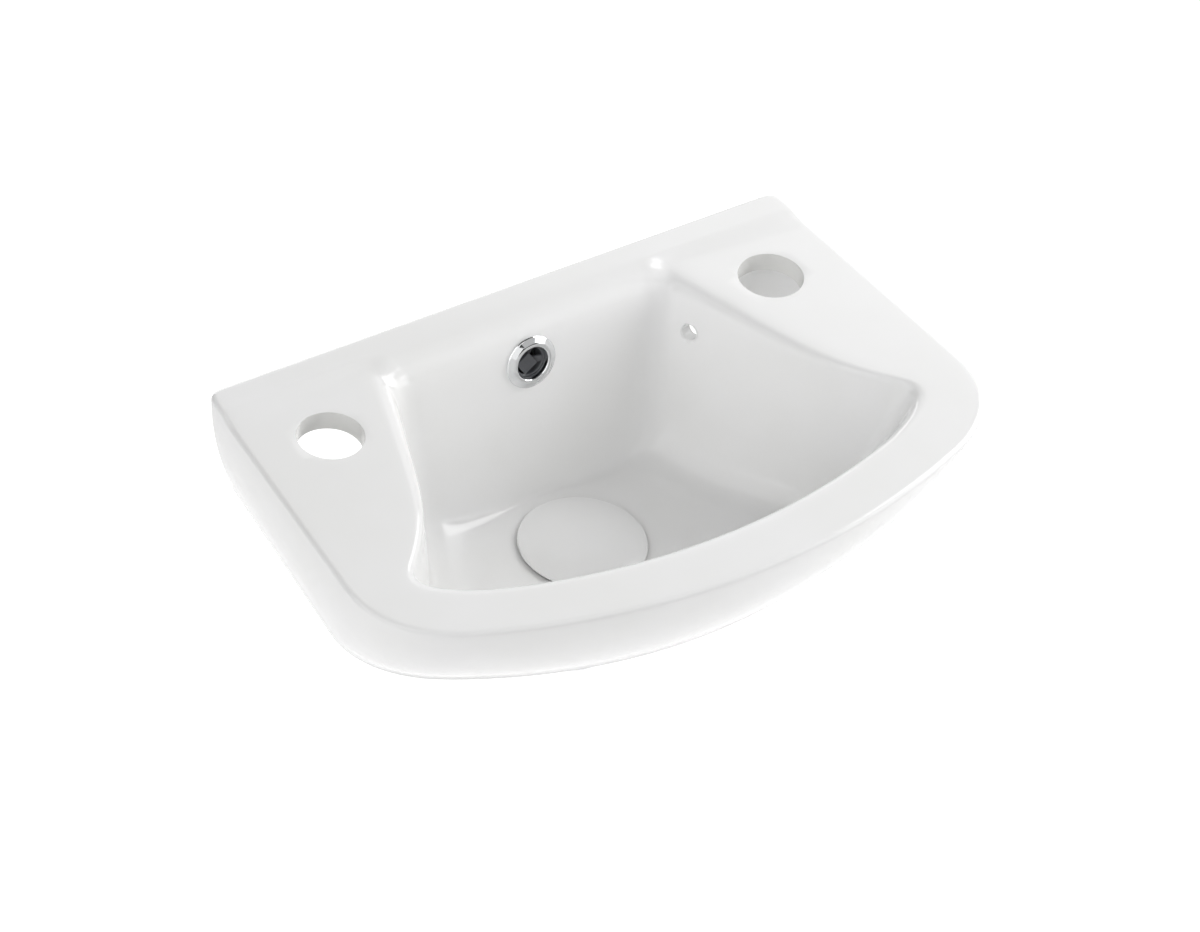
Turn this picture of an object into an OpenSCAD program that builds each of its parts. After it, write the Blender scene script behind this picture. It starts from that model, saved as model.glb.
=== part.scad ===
// Cloakroom basin for a wall, with two tap holes, an overflow and a push-to-open waste.
// The origin lies on the wall face, halfway between the two wall fixing holes.
// X runs along the wall, -Y points into the room and Z is up.

/* [Basin outline] */
// Width across the front corners, before they are rounded
basin_w = 381.3; // [370:0.1:392]
// Width of the edge that meets the wall
wall_w = 352.5; // [340:0.5:358]
// Depth from the wall to the middle of the front edge
basin_d = 240; // [232:0.5:248]
// Radius of the front edge, seen from above
front_r = 405; // [360:1:520]
// Length of the rounding at each front corner
front_corner = 39.3; // [32:0.1:48]
// Length of the rounding at each corner by the wall
back_corner = 8; // [6:1:15]
// Rounding of the top outer edge
edge_r = 3; // [3:0.5:6]
// Depth of the apron below the ledge
apron_h = 70; // [58:1:76]
// Width of the lower edge of the apron across the front corners, before they are rounded
low_w = 351; // [344:1:360]
// Width of the lower edge of the apron at the wall
low_wall_w = 320.6; // [314:0.1:330]
// Distance from the wall to the middle of the lower edge of the apron
low_d = 212.7; // [210:0.1:220]
// Radius of the lower edge of the apron in front, seen from above
low_front_r = 287.5; // [270:0.5:420]
// Length of the rounding at each front corner of the lower edge
low_corner = 31.8; // [24:0.1:40]
// Rounding of the lower edge of the apron
lip_r = 3; // [2:0.5:3.5]
// Thickness of the ceramic walls
wall_t = 7; // [6:0.5:9]
// Thickness of the ceramic at the tap holes
deck_t = 11.2; // [9:0.1:12]

/* [Ledge by the wall] */
// Depth of the raised ledge
ledge_d = 12; // [10:1:22]
// Height of the ledge above the tap decks
ledge_h = 2.2; // [1.5:0.1:7]
// Length of the slope from the ledge down to the tap decks
ledge_slope = 16; // [7:0.5:18]
// Height of the ledge above the wall fixing holes
fixing_drop = 28; // [26:0.5:30]
// Depth of the wall flange below the ledge
flange_h = 42; // [40:1:46]

/* [Bowl] */
// Distance from the wall to the back edge of the bowl
bowl_back_d = 30; // [27:0.1:33]
// Width of the back edge of the bowl
bowl_back_w = 167; // [160:1:186]
// Rounding of the back corners of the bowl
bowl_corner = 12; // [10:0.1:18]
// Width of the bowl where its sides start to spread
bowl_turn_w = 249.6; // [236:0.1:254]
// Distance from the wall to where the sides start to spread
bowl_turn_d = 132; // [120:0.1:135]
// Length of the curve where the sides spread, on each side of its middle
bowl_turn = 31.5; // [16:0.5:34]
// Width across the front corners of the bowl, before they are rounded
bowl_lobe_w = 328.5; // [322:0.5:348]
// Length of the rounding at the front corners of the bowl
bowl_lobe = 44; // [32:0.5:46]
// Distance from the wall to the front edge of the bowl
bowl_front_d = 208; // [200:0.5:209]
// Radius of the front edge of the bowl, seen from above
bowl_front_r = 372; // [350:1:440]
// Rounding of the bowl edge at the sides and front
rim_r = 6; // [4:0.5:7]
// Rounding of the bowl edge along the ledge
rim_back_r = 16; // [9:0.5:18]

/* [Bowl floor] */
// Depth of the floor below the ledge, at the waste
floor_h = 102.5; // [96:0.5:110]
// Rise of the floor away from the waste, for each millimetre
floor_rise = 0.1; // [0.04:0.01:0.14]
// Distance from the wall to the back of the floor
floor_back_d = 52.5; // [49:0.1:56]
// Width of the back of the floor
floor_back_w = 152; // [142:1:160]
// Rounding of the back corners of the floor
floor_corner = 17; // [12:1:20]
// Width of the floor where its sides start to spread
floor_turn_w = 210.5; // [202:0.5:218]
// Distance from the wall to where the sides of the floor start to spread
floor_turn_d = 121; // [116:1:126]
// Width across the front corners of the floor, before they are rounded
floor_lobe_w = 257; // [248:1:276]
// Distance from the wall to the front of the floor
floor_front_d = 172; // [166:1:178]
// Width of the level floor around the waste flange
level_w = 5.5; // [4:0.5:8]

/* [Holes in the basin] */
// Diameter of a tap hole
tap_hole_d = 35; // [30:0.5:36]
// Distance between the tap hole centres
tap_spacing = 272.2; // [262:0.1:276]
// Distance from the wall to the tap hole centres
tap_back_d = 55.4; // [50:0.1:58]
// Diameter of a wall fixing hole
fixing_hole_d = 12; // [8:0.5:14]
// Distance between the wall fixing holes
fixing_spacing = 220; // [190:1:240]
// Diameter of the chain stay hole
chain_hole_d = 9; // [8:0.5:12]
// Distance from the wall to the chain stay hole, on the bowl face
chain_hole_back_d = 52.2; // [45:0.1:56]
// Depth of the chain stay hole below the ledge
chain_hole_h = 25.5; // [24:0.1:34]
// Diameter of the overflow hole
overflow_hole_d = 22; // [20:0.5:24]
// Depth of the overflow hole below the ledge
overflow_h = 23.3; // [22:0.1:30]
// Width of the overflow passage
passage_w = 30; // [26:1:36]
// Depth of the overflow passage, from front to back
passage_t = 9; // [7:0.5:10]

/* [Waste] */
// Distance from the wall to the centre of the waste
waste_back_d = 97.6; // [92:0.1:100]
// Diameter of the waste hole
waste_hole_d = 46; // [45:0.5:48]
// Depth of the boss under the waste hole, below the floor
boss_h = 32; // [28:1:34]
// Diameter of the boss under the waste hole
boss_d = 76; // [72:1:84]
// Diameter of the waste flange
flange_d = 63; // [58:1:66]
// Thickness of the waste flange
flange_t = 2.5; // [2:0.1:3]
// How far the waste flange lies below the floor
flange_sink = 0.5; // [0.2:0.1:1]
// Width of the funnel from the flange into the bore
funnel_w = 4.2; // [3:0.2:6]
// Depth of the funnel
funnel_h = 3; // [2:0.5:4]
// Gap around the flange in its seat
seat_gap = 1.5; // [1:0.1:2]
// Outside diameter of the threaded tail
tail_d = 41.9; // [40:0.1:42.5]
// Length of the tail below the flange
tail_l = 70; // [62:1:90]
// Bore of the tail
bore_d = 36.6; // [35:0.1:37]
// Width of the overflow slots in the tail
slot_w = 11; // [8:0.5:13]
// Height of the overflow slots in the tail
slot_h = 14; // [10:1:16]
// Drop from the flange seal to the overflow slots
slot_drop = 3.5; // [3:0.5:5]
// Thickness of the flange seal
flange_seal_t = 1.5; // [1:0.1:2.5]
// Diameter of the seal under the boss
tail_seal_d = 66; // [56:1:70]
// Thickness of the seal under the boss
tail_seal_t = 5.5; // [4:0.5:7]
// Diameter of the slip washer
washer_d = 62; // [54:1:66]
// Thickness of the slip washer
washer_t = 2; // [1:0.1:3]
// Size of the back nut across its flats
nut_af = 52; // [49:0.5:56]
// Thickness of the back nut
nut_t = 10; // [8:0.5:12]
// Width of the groove in the tail that ends the run of the back nut
relief_w = 1.2; // [0.8:0.1:2]
// Depth of that groove
relief_t = 0.5; // [0.3:0.1:0.8]

/* [Plug] */
// Diameter of the ceramic cap
cap_d = 69; // [67:0.5:72]
// Thickness of the ceramic cap at its edge
cap_edge_t = 2; // [1.8:0.1:3]
// Rise of the cap from its edge to its middle
cap_rise = 3.6; // [2:0.1:4]
// Gap between the closed cap and the floor
cap_gap = 1; // [0.6:0.1:2]
// Diameter of the carrier under the cap
carrier_d = 51; // [46:0.5:56]
// Thickness of the carrier disc
carrier_t = 2; // [1.6:0.1:2.2]
// Diameter of the carrier skirt
skirt_d = 34; // [32:0.1:34.4]
// Height of the carrier skirt
skirt_h = 8.5; // [7:0.5:9]
// Wall of the carrier skirt
skirt_wall = 2.6; // [2.2:0.1:3.2]
// Height of the seal groove above the lower edge of the skirt
groove_up = 2.4; // [2:0.1:3]
// Wall of the hub that takes the plunger rod
hub_wall = 3; // [2:0.1:3.5]
// How far the hub reaches below the skirt
hub_drop = 2; // [1:0.5:3]
// Thickness of the carrier ribs
rib_t = 2; // [1.4:0.2:3]
// Thickness of the rubber plug seal
plug_seal_t = 2.2; // [1.8:0.1:2.4]
// Travel of the plug from closed to open
travel = 8; // [5:0.5:9]

/* [Push cartridge] */
// Outside diameter of the cartridge housing
housing_d = 17; // [16:0.5:19]
// Wall of the cartridge lid around the housing
lid_wall = 1.6; // [1.2:0.1:2]
// Thickness of the cartridge lid
lid_t = 2; // [1.6:0.1:2.6]
// Length of the cartridge lid along the housing
lid_l = 5; // [4:0.5:7]
// Diameter of the plunger shoulder
shoulder_d = 13; // [12:0.1:14]
// Thickness of the plunger shoulder
shoulder_t = 2; // [1.6:0.1:2.6]
// Diameter of the plunger rod
rod_d = 10; // [8:0.1:10.4]
// Diameter of the pin that guides the spring
pin_d = 4.8; // [4:0.1:5.2]
// Height of the rotor
rotor_h = 5; // [4:0.5:6]
// Width of a rotor notch
notch_w = 1.8; // [1.4:0.1:2.4]
// Depth of a rotor notch
notch_d = 1.2; // [0.8:0.1:1.6]
// Wire of the spring
wire_d = 1.1; // [0.8:0.1:1.2]
// Number of turns of the spring
spring_turns = 4; // [3:0.5:4.5]
// Length of the closed spring
spring_l = 9.8; // [9:0.1:12]
// Diameter of the stem under the housing
stem_d = 7.8; // [6:0.1:8.4]
// How far the stem reaches below the lock nut
stem_end = 3; // [2:0.5:5]
// Thickness of the housing floor
housing_floor_t = 3; // [2:0.5:4]
// Height of the crossbar in the tail
crossbar_h = 6; // [5:0.5:8]
// Width of a crossbar arm
crossbar_w = 5; // [4:0.5:7]
// Size of the lock nut across its flats
lock_nut_af = 13; // [12:0.5:16]
// Thickness of the lock nut
lock_nut_t = 4.5; // [4:0.5:6]

/* [Overflow trim] */
// Outside diameter of the overflow ring
ring_d = 30; // [27:0.5:34]
// Width of the rounded bead round the opening of the overflow ring
ring_bead_w = 2; // [1.4:0.1:2.6]
// Opening of the overflow ring
ring_bore_d = 18.6; // [17:0.1:19]
// Thickness of the overflow ring
ring_t = 2.8; // [2.2:0.1:3.5]
// Length of the sleeve that holds the ring in its hole
sleeve_l = 7; // [5:0.5:7.5]
// Width of the square face of the overflow clip
clip_face_w = 9; // [7:0.5:9.5]
// Width of an arm of the overflow clip
clip_arm_w = 2.4; // [1.8:0.1:3]
// Depth of an arm of the overflow clip
clip_arm_t = 1.6; // [1:0.2:4]
// Wall of the clip tube
clip_wall = 1.3; // [1.1:0.1:1.6]
// How far the clip tube lies behind the bowl face
clip_recess = 1.2; // [1:0.1:2]
// How far the square face of the clip lies behind the bowl face
face_recess = 1.2; // [0.8:0.1:2.4]
// How far the square face lies to the left of the middle of the clip
face_left = 1.4; // [0:0.1:1.6]
// How far the square face lies below the middle of the clip
face_down = 1.5; // [0:0.1:1.6]
// Turn of the square face
face_turn = -12; // [-30:1:30]
// Height of the spring tongue at the right of the face
tongue_w = 3.6; // [2.4:0.2:4.4]
// Width of a hook of the overflow clip
hook_w = 5; // [4:0.5:6]
// Thickness of a hook
hook_t = 2; // [1.5:0.1:2.5]
// How far a hook reaches past the edge of its hole
hook_reach = 1.2; // [0.8:0.1:2]

/* [Clearances] */
// Clearance of a running fit, on the radius
running_gap = 0.1; // [0.05:0.01:0.1]
// Clearance of an easy fit, on the radius
easy_gap = 0.3; // [0.3:0.05:0.35]
// Clearance between screwed pieces, on the radius
thread_gap = 0.05; // [0.03:0.01:0.08]
// Clearance between the closed carrier and the cartridge lid
hub_gap = 0.5; // [0.3:0.1:1]
// Height of the plunger pin above the housing floor
pin_gap = 2; // [1:0.5:3]

/* [Hidden] */

// Facets of a round face
$fn = 64;
// How far a cut runs past the face it opens
past = 1;

// Points along each stretch of half an outline, from the middle of the back to the middle of the front
n_back = 6;
n_corner = 3;
n_slope = 6;
n_side = 6;
n_turn = 4;
n_lobe = 7;
n_front = 8;
// Width of the straight strip beside a back corner of the bowl
corner_strip = 9;
// Length of side beyond the ledge slope that its points still cover
slope_margin = 2;
// Shares of the way from one ring to the next where the curves between them start or end
floor_share = 0.5;
foot_share = 0.3;
apron_share = 0.85;
deck_share = 0.2;
brow_share = 0.1;
low_share = 0.75;
boss_share = 0.4;
boss_end_share = 0.5;

hub = [0, -waste_back_d];
// Radius of the level floor around the waste
level_r = flange_d / 2 + level_w;
// Spread of the boss where it leaves the bowl
boss_spread = 3;
// Rounding of the flange edge, of the end of the tail, and of the cap at its lower and upper edges
flange_edge = 0.8;
tail_edge = 1;
cap_low_edge = 0.8;
cap_top_edge = 1.2;
// Inset of the top edge along the wall
wall_edge_r = 3;
// Share of its lean that the apron has taken halfway down
belly = 0.15;

// Direction of the bowl side, seen from above, and its lean
side_turn = atan2((bowl_turn_w - bowl_back_w) / 2, bowl_turn_d - bowl_back_d);
side_lean = atan((bowl_turn_w + bowl_back_w - floor_turn_w - floor_back_w) / 4 / floor_h);
// Sideways growth of the outside of the bowl at its back corners, for the same thickness all round
wall_corner_t = wall_t * tan(45 - side_turn / 2);

// Levels of the waste, measured up from the floor
seal_z = -(flange_sink + flange_t + flange_seal_t);
tail_z = -(flange_sink + flange_t) - tail_l;
slot_z = seal_z - slot_drop;
nut_top_z = -boss_h - tail_seal_t - washer_t;
relief_z = nut_top_z - nut_t;
// Levels of the closed plug and its cartridge, measured up from the floor
carrier_z = cap_gap;
hub_low_z = carrier_z - skirt_h - hub_drop;
groove_z = carrier_z - skirt_h + groove_up;
housing_top_z = hub_low_z - hub_gap - lid_t;
shoulder_top_z = housing_top_z - travel - easy_gap;
rotor_top_z = shoulder_top_z - shoulder_t - easy_gap;
spring_top_z = rotor_top_z - rotor_h - easy_gap;
housing_floor_z = spring_top_z - spring_l - easy_gap;
crossbar_top_z = housing_floor_z - housing_floor_t;
lock_nut_top_z = crossbar_top_z - crossbar_h;
// Radius of the middle of the spring wire
spring_r = (shoulder_d + pin_d) / 4 - running_gap / 2;

// A point, or a whole ring of points, part of the way from a to b
function mix(a, b, t) = a + (b - a) * t;

// The point that lies a length along the line from a toward b
function along(a, b, length) = a + (b - a) * length / norm(b - a);

// n points, or rings, of a curve that leaves a, bends toward b and comes in at c, which is left out
function bend(a, b, c, n) =
    [for (j = [0:n - 1]) let (t = j / n) a * (1 - t) * (1 - t) + b * 2 * t * (1 - t) + c * t * t];

// n points, or rings, of a straight line from a to b, which is left out
function line(a, b, n) = [for (j = [0:n - 1]) mix(a, b, j / n)];

// Y of an arc of radius r that bows out toward the room and stands d from the wall at its middle
function bow_y(x, d, r) = r - d - sqrt(r * r - x * x);

// n + 1 points of that arc, from x to the middle
function bow(x, d, r, n) = [for (j = [0:n]) let (px = x * (1 - j / n)) [px, bow_y(px, d, r)]];

// Rise from 0 to 1 with a level start and a level end
function ease(t) = let (u = min(1, max(0, t))) u * u * (3 - 2 * u);

// Half the outer outline of the basin at level k, from 0 at its top to 1 at the lower edge of the apron,
// drawn in at the back and at the sides and front
function shell_half(k, back, side) =
    let (
        corner = [mix(wall_w, low_wall_w, k) / 2 - side, -back],
        lobe_x = mix(basin_w, low_w, k) / 2 - side,
        depth = mix(basin_d, low_d, k) - side,
        radius = mix(front_r, low_front_r, k),
        corner_l = mix(front_corner, low_corner, k),
        lobe = [lobe_x, bow_y(lobe_x, depth, radius)],
        slope_end = along(corner, lobe, ledge_d + ledge_slope + slope_margin),
        turn_start = along(corner, lobe, bowl_turn_d - bowl_turn),
        lobe_start = along(lobe, corner, corner_l),
        front_x = lobe_x - corner_l,
        corner_end = along(corner, lobe, back_corner)
    )
    concat(
        line([0, -back], corner - [back_corner, 0], n_back),
        bend(corner - [back_corner, 0], corner, corner_end, n_corner),
        line(corner_end, slope_end, n_slope),
        line(slope_end, turn_start, n_side),
        line(turn_start, lobe_start, n_turn),
        bend(lobe_start, lobe, [front_x, bow_y(front_x, depth, radius)], n_lobe),
        bow(front_x, depth, radius, n_front)
    );

// Half the outline of the bowl at level k, from 0 at its edge to 1 at its floor, grown at the back, at the
// sides and front, and at the back corners sideways
function bowl_half(k, back, side, corner_side) =
    let (
        corner = [mix(bowl_back_w, floor_back_w, k) / 2 + corner_side,
            back - mix(bowl_back_d, floor_back_d, k)],
        turn = [mix(bowl_turn_w, floor_turn_w, k) / 2 + side, -mix(bowl_turn_d, floor_turn_d, k)],
        lobe_x = mix(bowl_lobe_w, floor_lobe_w, k) / 2 + side,
        depth = mix(bowl_front_d, floor_front_d, k) + side,
        lobe = [lobe_x, bow_y(lobe_x, depth, bowl_front_r)],
        corner_l = mix(bowl_corner, floor_corner, k),
        turn_end = along(turn, lobe, bowl_turn),
        front_x = lobe_x - bowl_lobe
    )
    concat(
        line([0, corner.y], corner - [corner_l + corner_strip, 0], n_back),
        line(corner - [corner_l + corner_strip, 0], corner - [corner_l, 0], n_corner),
        bend(corner - [corner_l, 0], corner, along(corner, turn, corner_l), n_slope),
        line(along(corner, turn, corner_l), along(turn, corner, bowl_turn), n_side),
        bend(along(turn, corner, bowl_turn), turn, turn_end, n_turn),
        bend(turn_end, lobe, [front_x, bow_y(front_x, depth, bowl_front_r)], n_lobe),
        bow(front_x, depth, bowl_front_r, n_front)
    );

// Half a circle around the waste, with a point in the direction of each point of the bowl floor
function circle_half(r) = [for (p = bowl_half(1, 0, 0, 0)) along(hub, p, r)];

// How far the top lies below the ledge, for each point of half an outline
top_drop = [for (p = shell_half(0, 0, 0)) ledge_h * ease((-p.y - ledge_d) / ledge_slope)];
// How far the lower edge lies below the ledge: less behind the tap decks, where the flange is open below
low_drop = [for (p = shell_half(0, 0, 0))
    p.y == 0 && p.x < wall_w / 2 - back_corner - past ? flange_h : apron_h];

// Half outline raised to a level below the ledge, one depth for all points or a list with one for each
function level(half, drop) = [for (i = [0:len(half) - 1]) [half[i].x, half[i].y, -drop[i]]];
function deeper(drop, more) = [for (d = drop) d + more];
function flat(drop) = [for (d = top_drop) drop];
// Level of the bowl floor under each point of an outline of it
function floor_level(half, more) =
    [for (p = half) floor_h + more - floor_rise * max(0, norm(p - hub) - level_r)];

// Rings from the middle of the bowl floor up to the deck
floor_edge = bowl_half(1, 0, 0, 0);
floor_ring = level(floor_edge, floor_level(floor_edge, 0));
level_ring = level(circle_half(level_r), flat(floor_h));
rim_ring = level(bowl_half(0, 0, 0, 0), top_drop);
deck_ring = level(bowl_half(0, rim_back_r, rim_r, rim_r), top_drop);
foot_ring = mix(floor_ring, rim_ring, foot_share);
brow_ring = [for (i = [0:len(rim_ring) - 1])
    along(rim_ring[i], floor_ring[i], norm(deck_ring[i] - rim_ring[i]))];
inside_rings = concat(
    line(level_ring, mix(level_ring, floor_ring, floor_share), 2),
    bend(mix(level_ring, floor_ring, floor_share), floor_ring, foot_ring, 5),
    line(foot_ring, brow_ring, 3),
    bend(brow_ring, rim_ring, deck_ring, 4),
    [deck_ring]
);

// Rings from the deck over the outer edge and down the apron to its lower edge
edge_ring = level(shell_half(0, wall_edge_r, edge_r), top_drop);
square_ring = level(shell_half(0, 0, 0), top_drop);
side_ring = level(shell_half(0, 0, 0), deeper(top_drop, edge_r));
belly_ring = level(shell_half(belly, 0, 0),
    [for (i = [0:len(low_drop) - 1]) (low_drop[i] + top_drop[i] + edge_r) / 2]);
toe_ring = level(shell_half(1, 0, 0), deeper(low_drop, -lip_r));
low_ring = level(shell_half(1, 0, 0), low_drop);
sole_ring = level(shell_half(1, lip_r, lip_r), low_drop);
outside_rings = concat(
    bend(edge_ring, square_ring, side_ring, 4),
    bend(side_ring, belly_ring, toe_ring, 4),
    bend(toe_ring, low_ring, sole_ring, 2),
    [sole_ring]
);

// Rings up inside the apron, along the underside of the deck and down the outside of the bowl
under_drop = deeper(top_drop, deck_t);
inner_low_ring = level(shell_half(1, wall_t, wall_t), low_drop);
inner_top_ring = level(shell_half(0, wall_t, wall_t), under_drop);
bowl_top_ring = level(bowl_half(0, wall_t, wall_t, wall_corner_t), under_drop);
bowl_low = bowl_half(1, wall_t, wall_t, wall_corner_t);
bowl_low_ring = level(bowl_low, floor_level(bowl_low, wall_t));
boss_top_ring = level(circle_half(boss_d / 2 + boss_spread), flat(floor_h + wall_t));
boss_ring = level(circle_half(boss_d / 2), flat(floor_h + boss_h));
under_rings = concat(
    line(inner_low_ring, mix(inner_low_ring, inner_top_ring, apron_share), 2),
    bend(mix(inner_low_ring, inner_top_ring, apron_share), inner_top_ring,
        mix(inner_top_ring, bowl_top_ring, deck_share), 3),
    bend(mix(bowl_top_ring, inner_top_ring, deck_share), bowl_top_ring,
        mix(bowl_top_ring, bowl_low_ring, brow_share), 3),
    line(mix(bowl_top_ring, bowl_low_ring, brow_share), mix(bowl_top_ring, bowl_low_ring, low_share), 2),
    bend(mix(bowl_top_ring, bowl_low_ring, low_share), bowl_low_ring,
        mix(bowl_low_ring, boss_top_ring, boss_share), 4),
    bend(mix(bowl_low_ring, boss_top_ring, boss_share), boss_top_ring,
        mix(boss_top_ring, boss_ring, boss_end_share), 3),
    [boss_ring]
);

body_rings = concat(inside_rings, outside_rings, under_rings);

// A whole ring from its half, by mirroring every point that is off the middle
function whole(half) = concat(half, [for (i = [len(half) - 2:-1:1]) [-half[i].x, half[i].y, half[i].z]]);

// Closed skin over a list of rings, with a fan over the first and the last
module skin(rings) {
    count = len(rings[0]);
    last = len(rings) - 1;
    first_middle = (last + 1) * count;
    points = concat([for (ring = rings) each ring],
        [[hub.x, hub.y, rings[0][0].z], [hub.x, hub.y, rings[last][0].z]]);
    sides = [for (r = [0:last - 1], i = [0:count - 1]) let (j = (i + 1) % count)
        each [[r * count + i, (r + 1) * count + j, r * count + j],
            [r * count + i, (r + 1) * count + i, (r + 1) * count + j]]];
    start = [for (i = [0:count - 1]) [first_middle, i, (i + 1) % count]];
    end = [for (i = [0:count - 1]) [first_middle + 1, last * count + (i + 1) % count, last * count + i]];
    polyhedron(points, concat(sides, start, end), convexity = 12);
}

// Y of the back wall of the bowl at a depth below the ledge, a distance behind its face
floor_back_h = floor_level([[0, -floor_back_d]], 0)[0];
function back_wall_y(depth, behind) = behind - mix(bowl_back_d, floor_back_d, depth / floor_back_h);
// Lean of the back wall of the bowl
back_lean = atan((floor_back_d - bowl_back_d) / floor_back_h);
chain_x = bowl_back_w / 2 + (chain_hole_back_d - bowl_back_d) * tan(side_turn)
    - chain_hole_h * tan(side_lean) / cos(side_turn);

// Side view of the overflow passage, from behind the overflow hole down and forward to the waste hole
passage_roof = 3.5;
passage_bite = 3;
passage_turn = 3;
passage_top = deck_t + passage_roof;
passage_low = floor_h + wall_t + passage_t;
passage_front_y = -waste_back_d + waste_hole_d / 2 - passage_bite;
passage_points = [
    [-wall_t, -passage_top],
    [back_wall_y(passage_top, wall_t), -passage_top],
    [back_wall_y(floor_back_h, wall_t), -floor_back_h],
    [back_wall_y(floor_h + wall_t, wall_t - passage_turn), -floor_h - wall_t],
    [passage_front_y, -floor_h - wall_t],
    [passage_front_y, -passage_low],
    [back_wall_y(passage_low, wall_t + passage_t - passage_turn * 2), -passage_low],
    [back_wall_y(floor_back_h, wall_t + passage_t), -floor_back_h],
    [-wall_t, -flange_h + passage_roof]
];
// Side view of the ceramic around the passage
casing_low = passage_low + wall_t;
casing_bite = 2;
casing_front_y = -waste_back_d + waste_hole_d / 2 + casing_bite;
casing_rise = 12;
casing_points = [
    [0, -deck_t],
    [back_wall_y(deck_t, wall_t / 2), -deck_t],
    [back_wall_y(floor_back_h - casing_rise, wall_t / 2), -floor_back_h + casing_rise],
    [back_wall_y(floor_back_h, wall_t / 2), -floor_h - wall_t / 2],
    [casing_front_y, -floor_h - wall_t / 2],
    [casing_front_y, -casing_low],
    [back_wall_y(passage_low, wall_t + passage_t), -casing_low],
    [back_wall_y(floor_back_h, wall_t * 2 + passage_t), -floor_back_h],
    [0, -flange_h]
];

// Solid with a side view in the Y-Z plane and a width along X
module side_view(points, w) {
    translate([-w / 2, 0, 0])
        rotate([90, 0, 90])
            linear_extrude(w)
                polygon(points);
}

// Places: under the ledge, at the floor beside the waste, and on the bowl face at the overflow
module below_ledge() {
    translate([0, 0, fixing_drop])
        children();
}
module at_waste() {
    translate([hub.x, hub.y, fixing_drop - floor_h])
        children();
}
module at_overflow() {
    translate([0, back_wall_y(overflow_h, 0), fixing_drop - overflow_h])
        rotate([90 - back_lean, 0, 0])
            children();
}

// Ring of rectangular section between two radii and two levels
module band(outer_r, inner_r, low, high) {
    translate([0, 0, low])
        difference() {
            cylinder(h = high - low, r = outer_r);
            translate([0, 0, -past])
                cylinder(h = high - low + 2 * past, r = inner_r);
        }
}

// Hexagon of a size across its flats, with its corners turned off as on a nut
module hexagon(across, low, high) {
    corner_r = across / 2 / cos(30);
    chamfer = (corner_r - across / 2) * 0.6;
    intersection() {
        translate([0, 0, low])
            cylinder(h = high - low, r = corner_r, $fn = 6);
        rotate_extrude()
            polygon([[0, low], [corner_r - chamfer, low], [corner_r, low + chamfer / 2],
                [corner_r, high - chamfer / 2], [corner_r - chamfer, high], [0, high]]);
    }
}

// Glazed ceramic body
module basin() {
    color("white")
        below_ledge()
            difference() {
                union() {
                    skin([for (ring = body_rings) whole(ring)]);
                    side_view(casing_points, passage_w + 2 * wall_t);
                }
                // Overflow passage
                side_view(passage_points, passage_w);
                // Waste hole and the seat of its flange
                translate([hub.x, hub.y, -floor_h - boss_h - wall_t])
                    cylinder(h = boss_h + 2 * wall_t, d = waste_hole_d);
                translate([hub.x, hub.y, -floor_h + seal_z])
                    cylinder(h = past - seal_z, d = flange_d + 2 * seat_gap);
                // Tap holes
                for (side = [-1, 1])
                    translate([side * tap_spacing / 2, -tap_back_d, -ledge_h - deck_t - past])
                        cylinder(h = deck_t + 2 * past, d = tap_hole_d);
                // Wall fixing holes
                for (side = [-1, 1])
                    translate([side * fixing_spacing / 2, past, -fixing_drop])
                        rotate([90, 0, 0])
                            cylinder(h = wall_t + 2 * past, d = fixing_hole_d);
                // Chain stay hole, square to the right side of the bowl
                translate([chain_x, -chain_hole_back_d, -chain_hole_h])
                    rotate([0, 90 + side_lean, side_turn])
                        translate([0, 0, -wall_t])
                            cylinder(h = 3 * wall_t, d = chain_hole_d);
                // Overflow hole, square to the back of the bowl
                translate([0, back_wall_y(overflow_h, 0), -overflow_h])
                    rotate([90 - back_lean, 0, 0])
                        translate([0, 0, -wall_t - past])
                            cylinder(h = 2 * wall_t, d = overflow_hole_d);
            }
}

// Polished ring round the overflow: a slope up to a bead, and a sleeve that goes into the hole
module overflow_ring() {
    ring_slope_w = (ring_d - ring_bore_d) / 2 - ring_bead_w;
    color("silver")
        at_overflow()
            rotate_extrude()
                polygon([
                    [ring_bore_d / 2, -sleeve_l],
                    [overflow_hole_d / 2 - easy_gap, -sleeve_l],
                    [overflow_hole_d / 2 - easy_gap, 0],
                    [ring_d / 2, 0],
                    [ring_d / 2, ring_t * 0.25],
                    [ring_d / 2 - ring_slope_w * 0.12, ring_t * 0.45],
                    [ring_d / 2 - ring_slope_w * 0.45, ring_t * 0.7],
                    [ring_d / 2 - ring_slope_w, ring_t * 0.97],
                    [ring_bore_d / 2 + ring_bead_w * 0.6, ring_t],
                    [ring_bore_d / 2 + ring_bead_w * 0.2, ring_t * 0.85],
                    [ring_bore_d / 2, ring_t * 0.55]
                ]);
}

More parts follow.
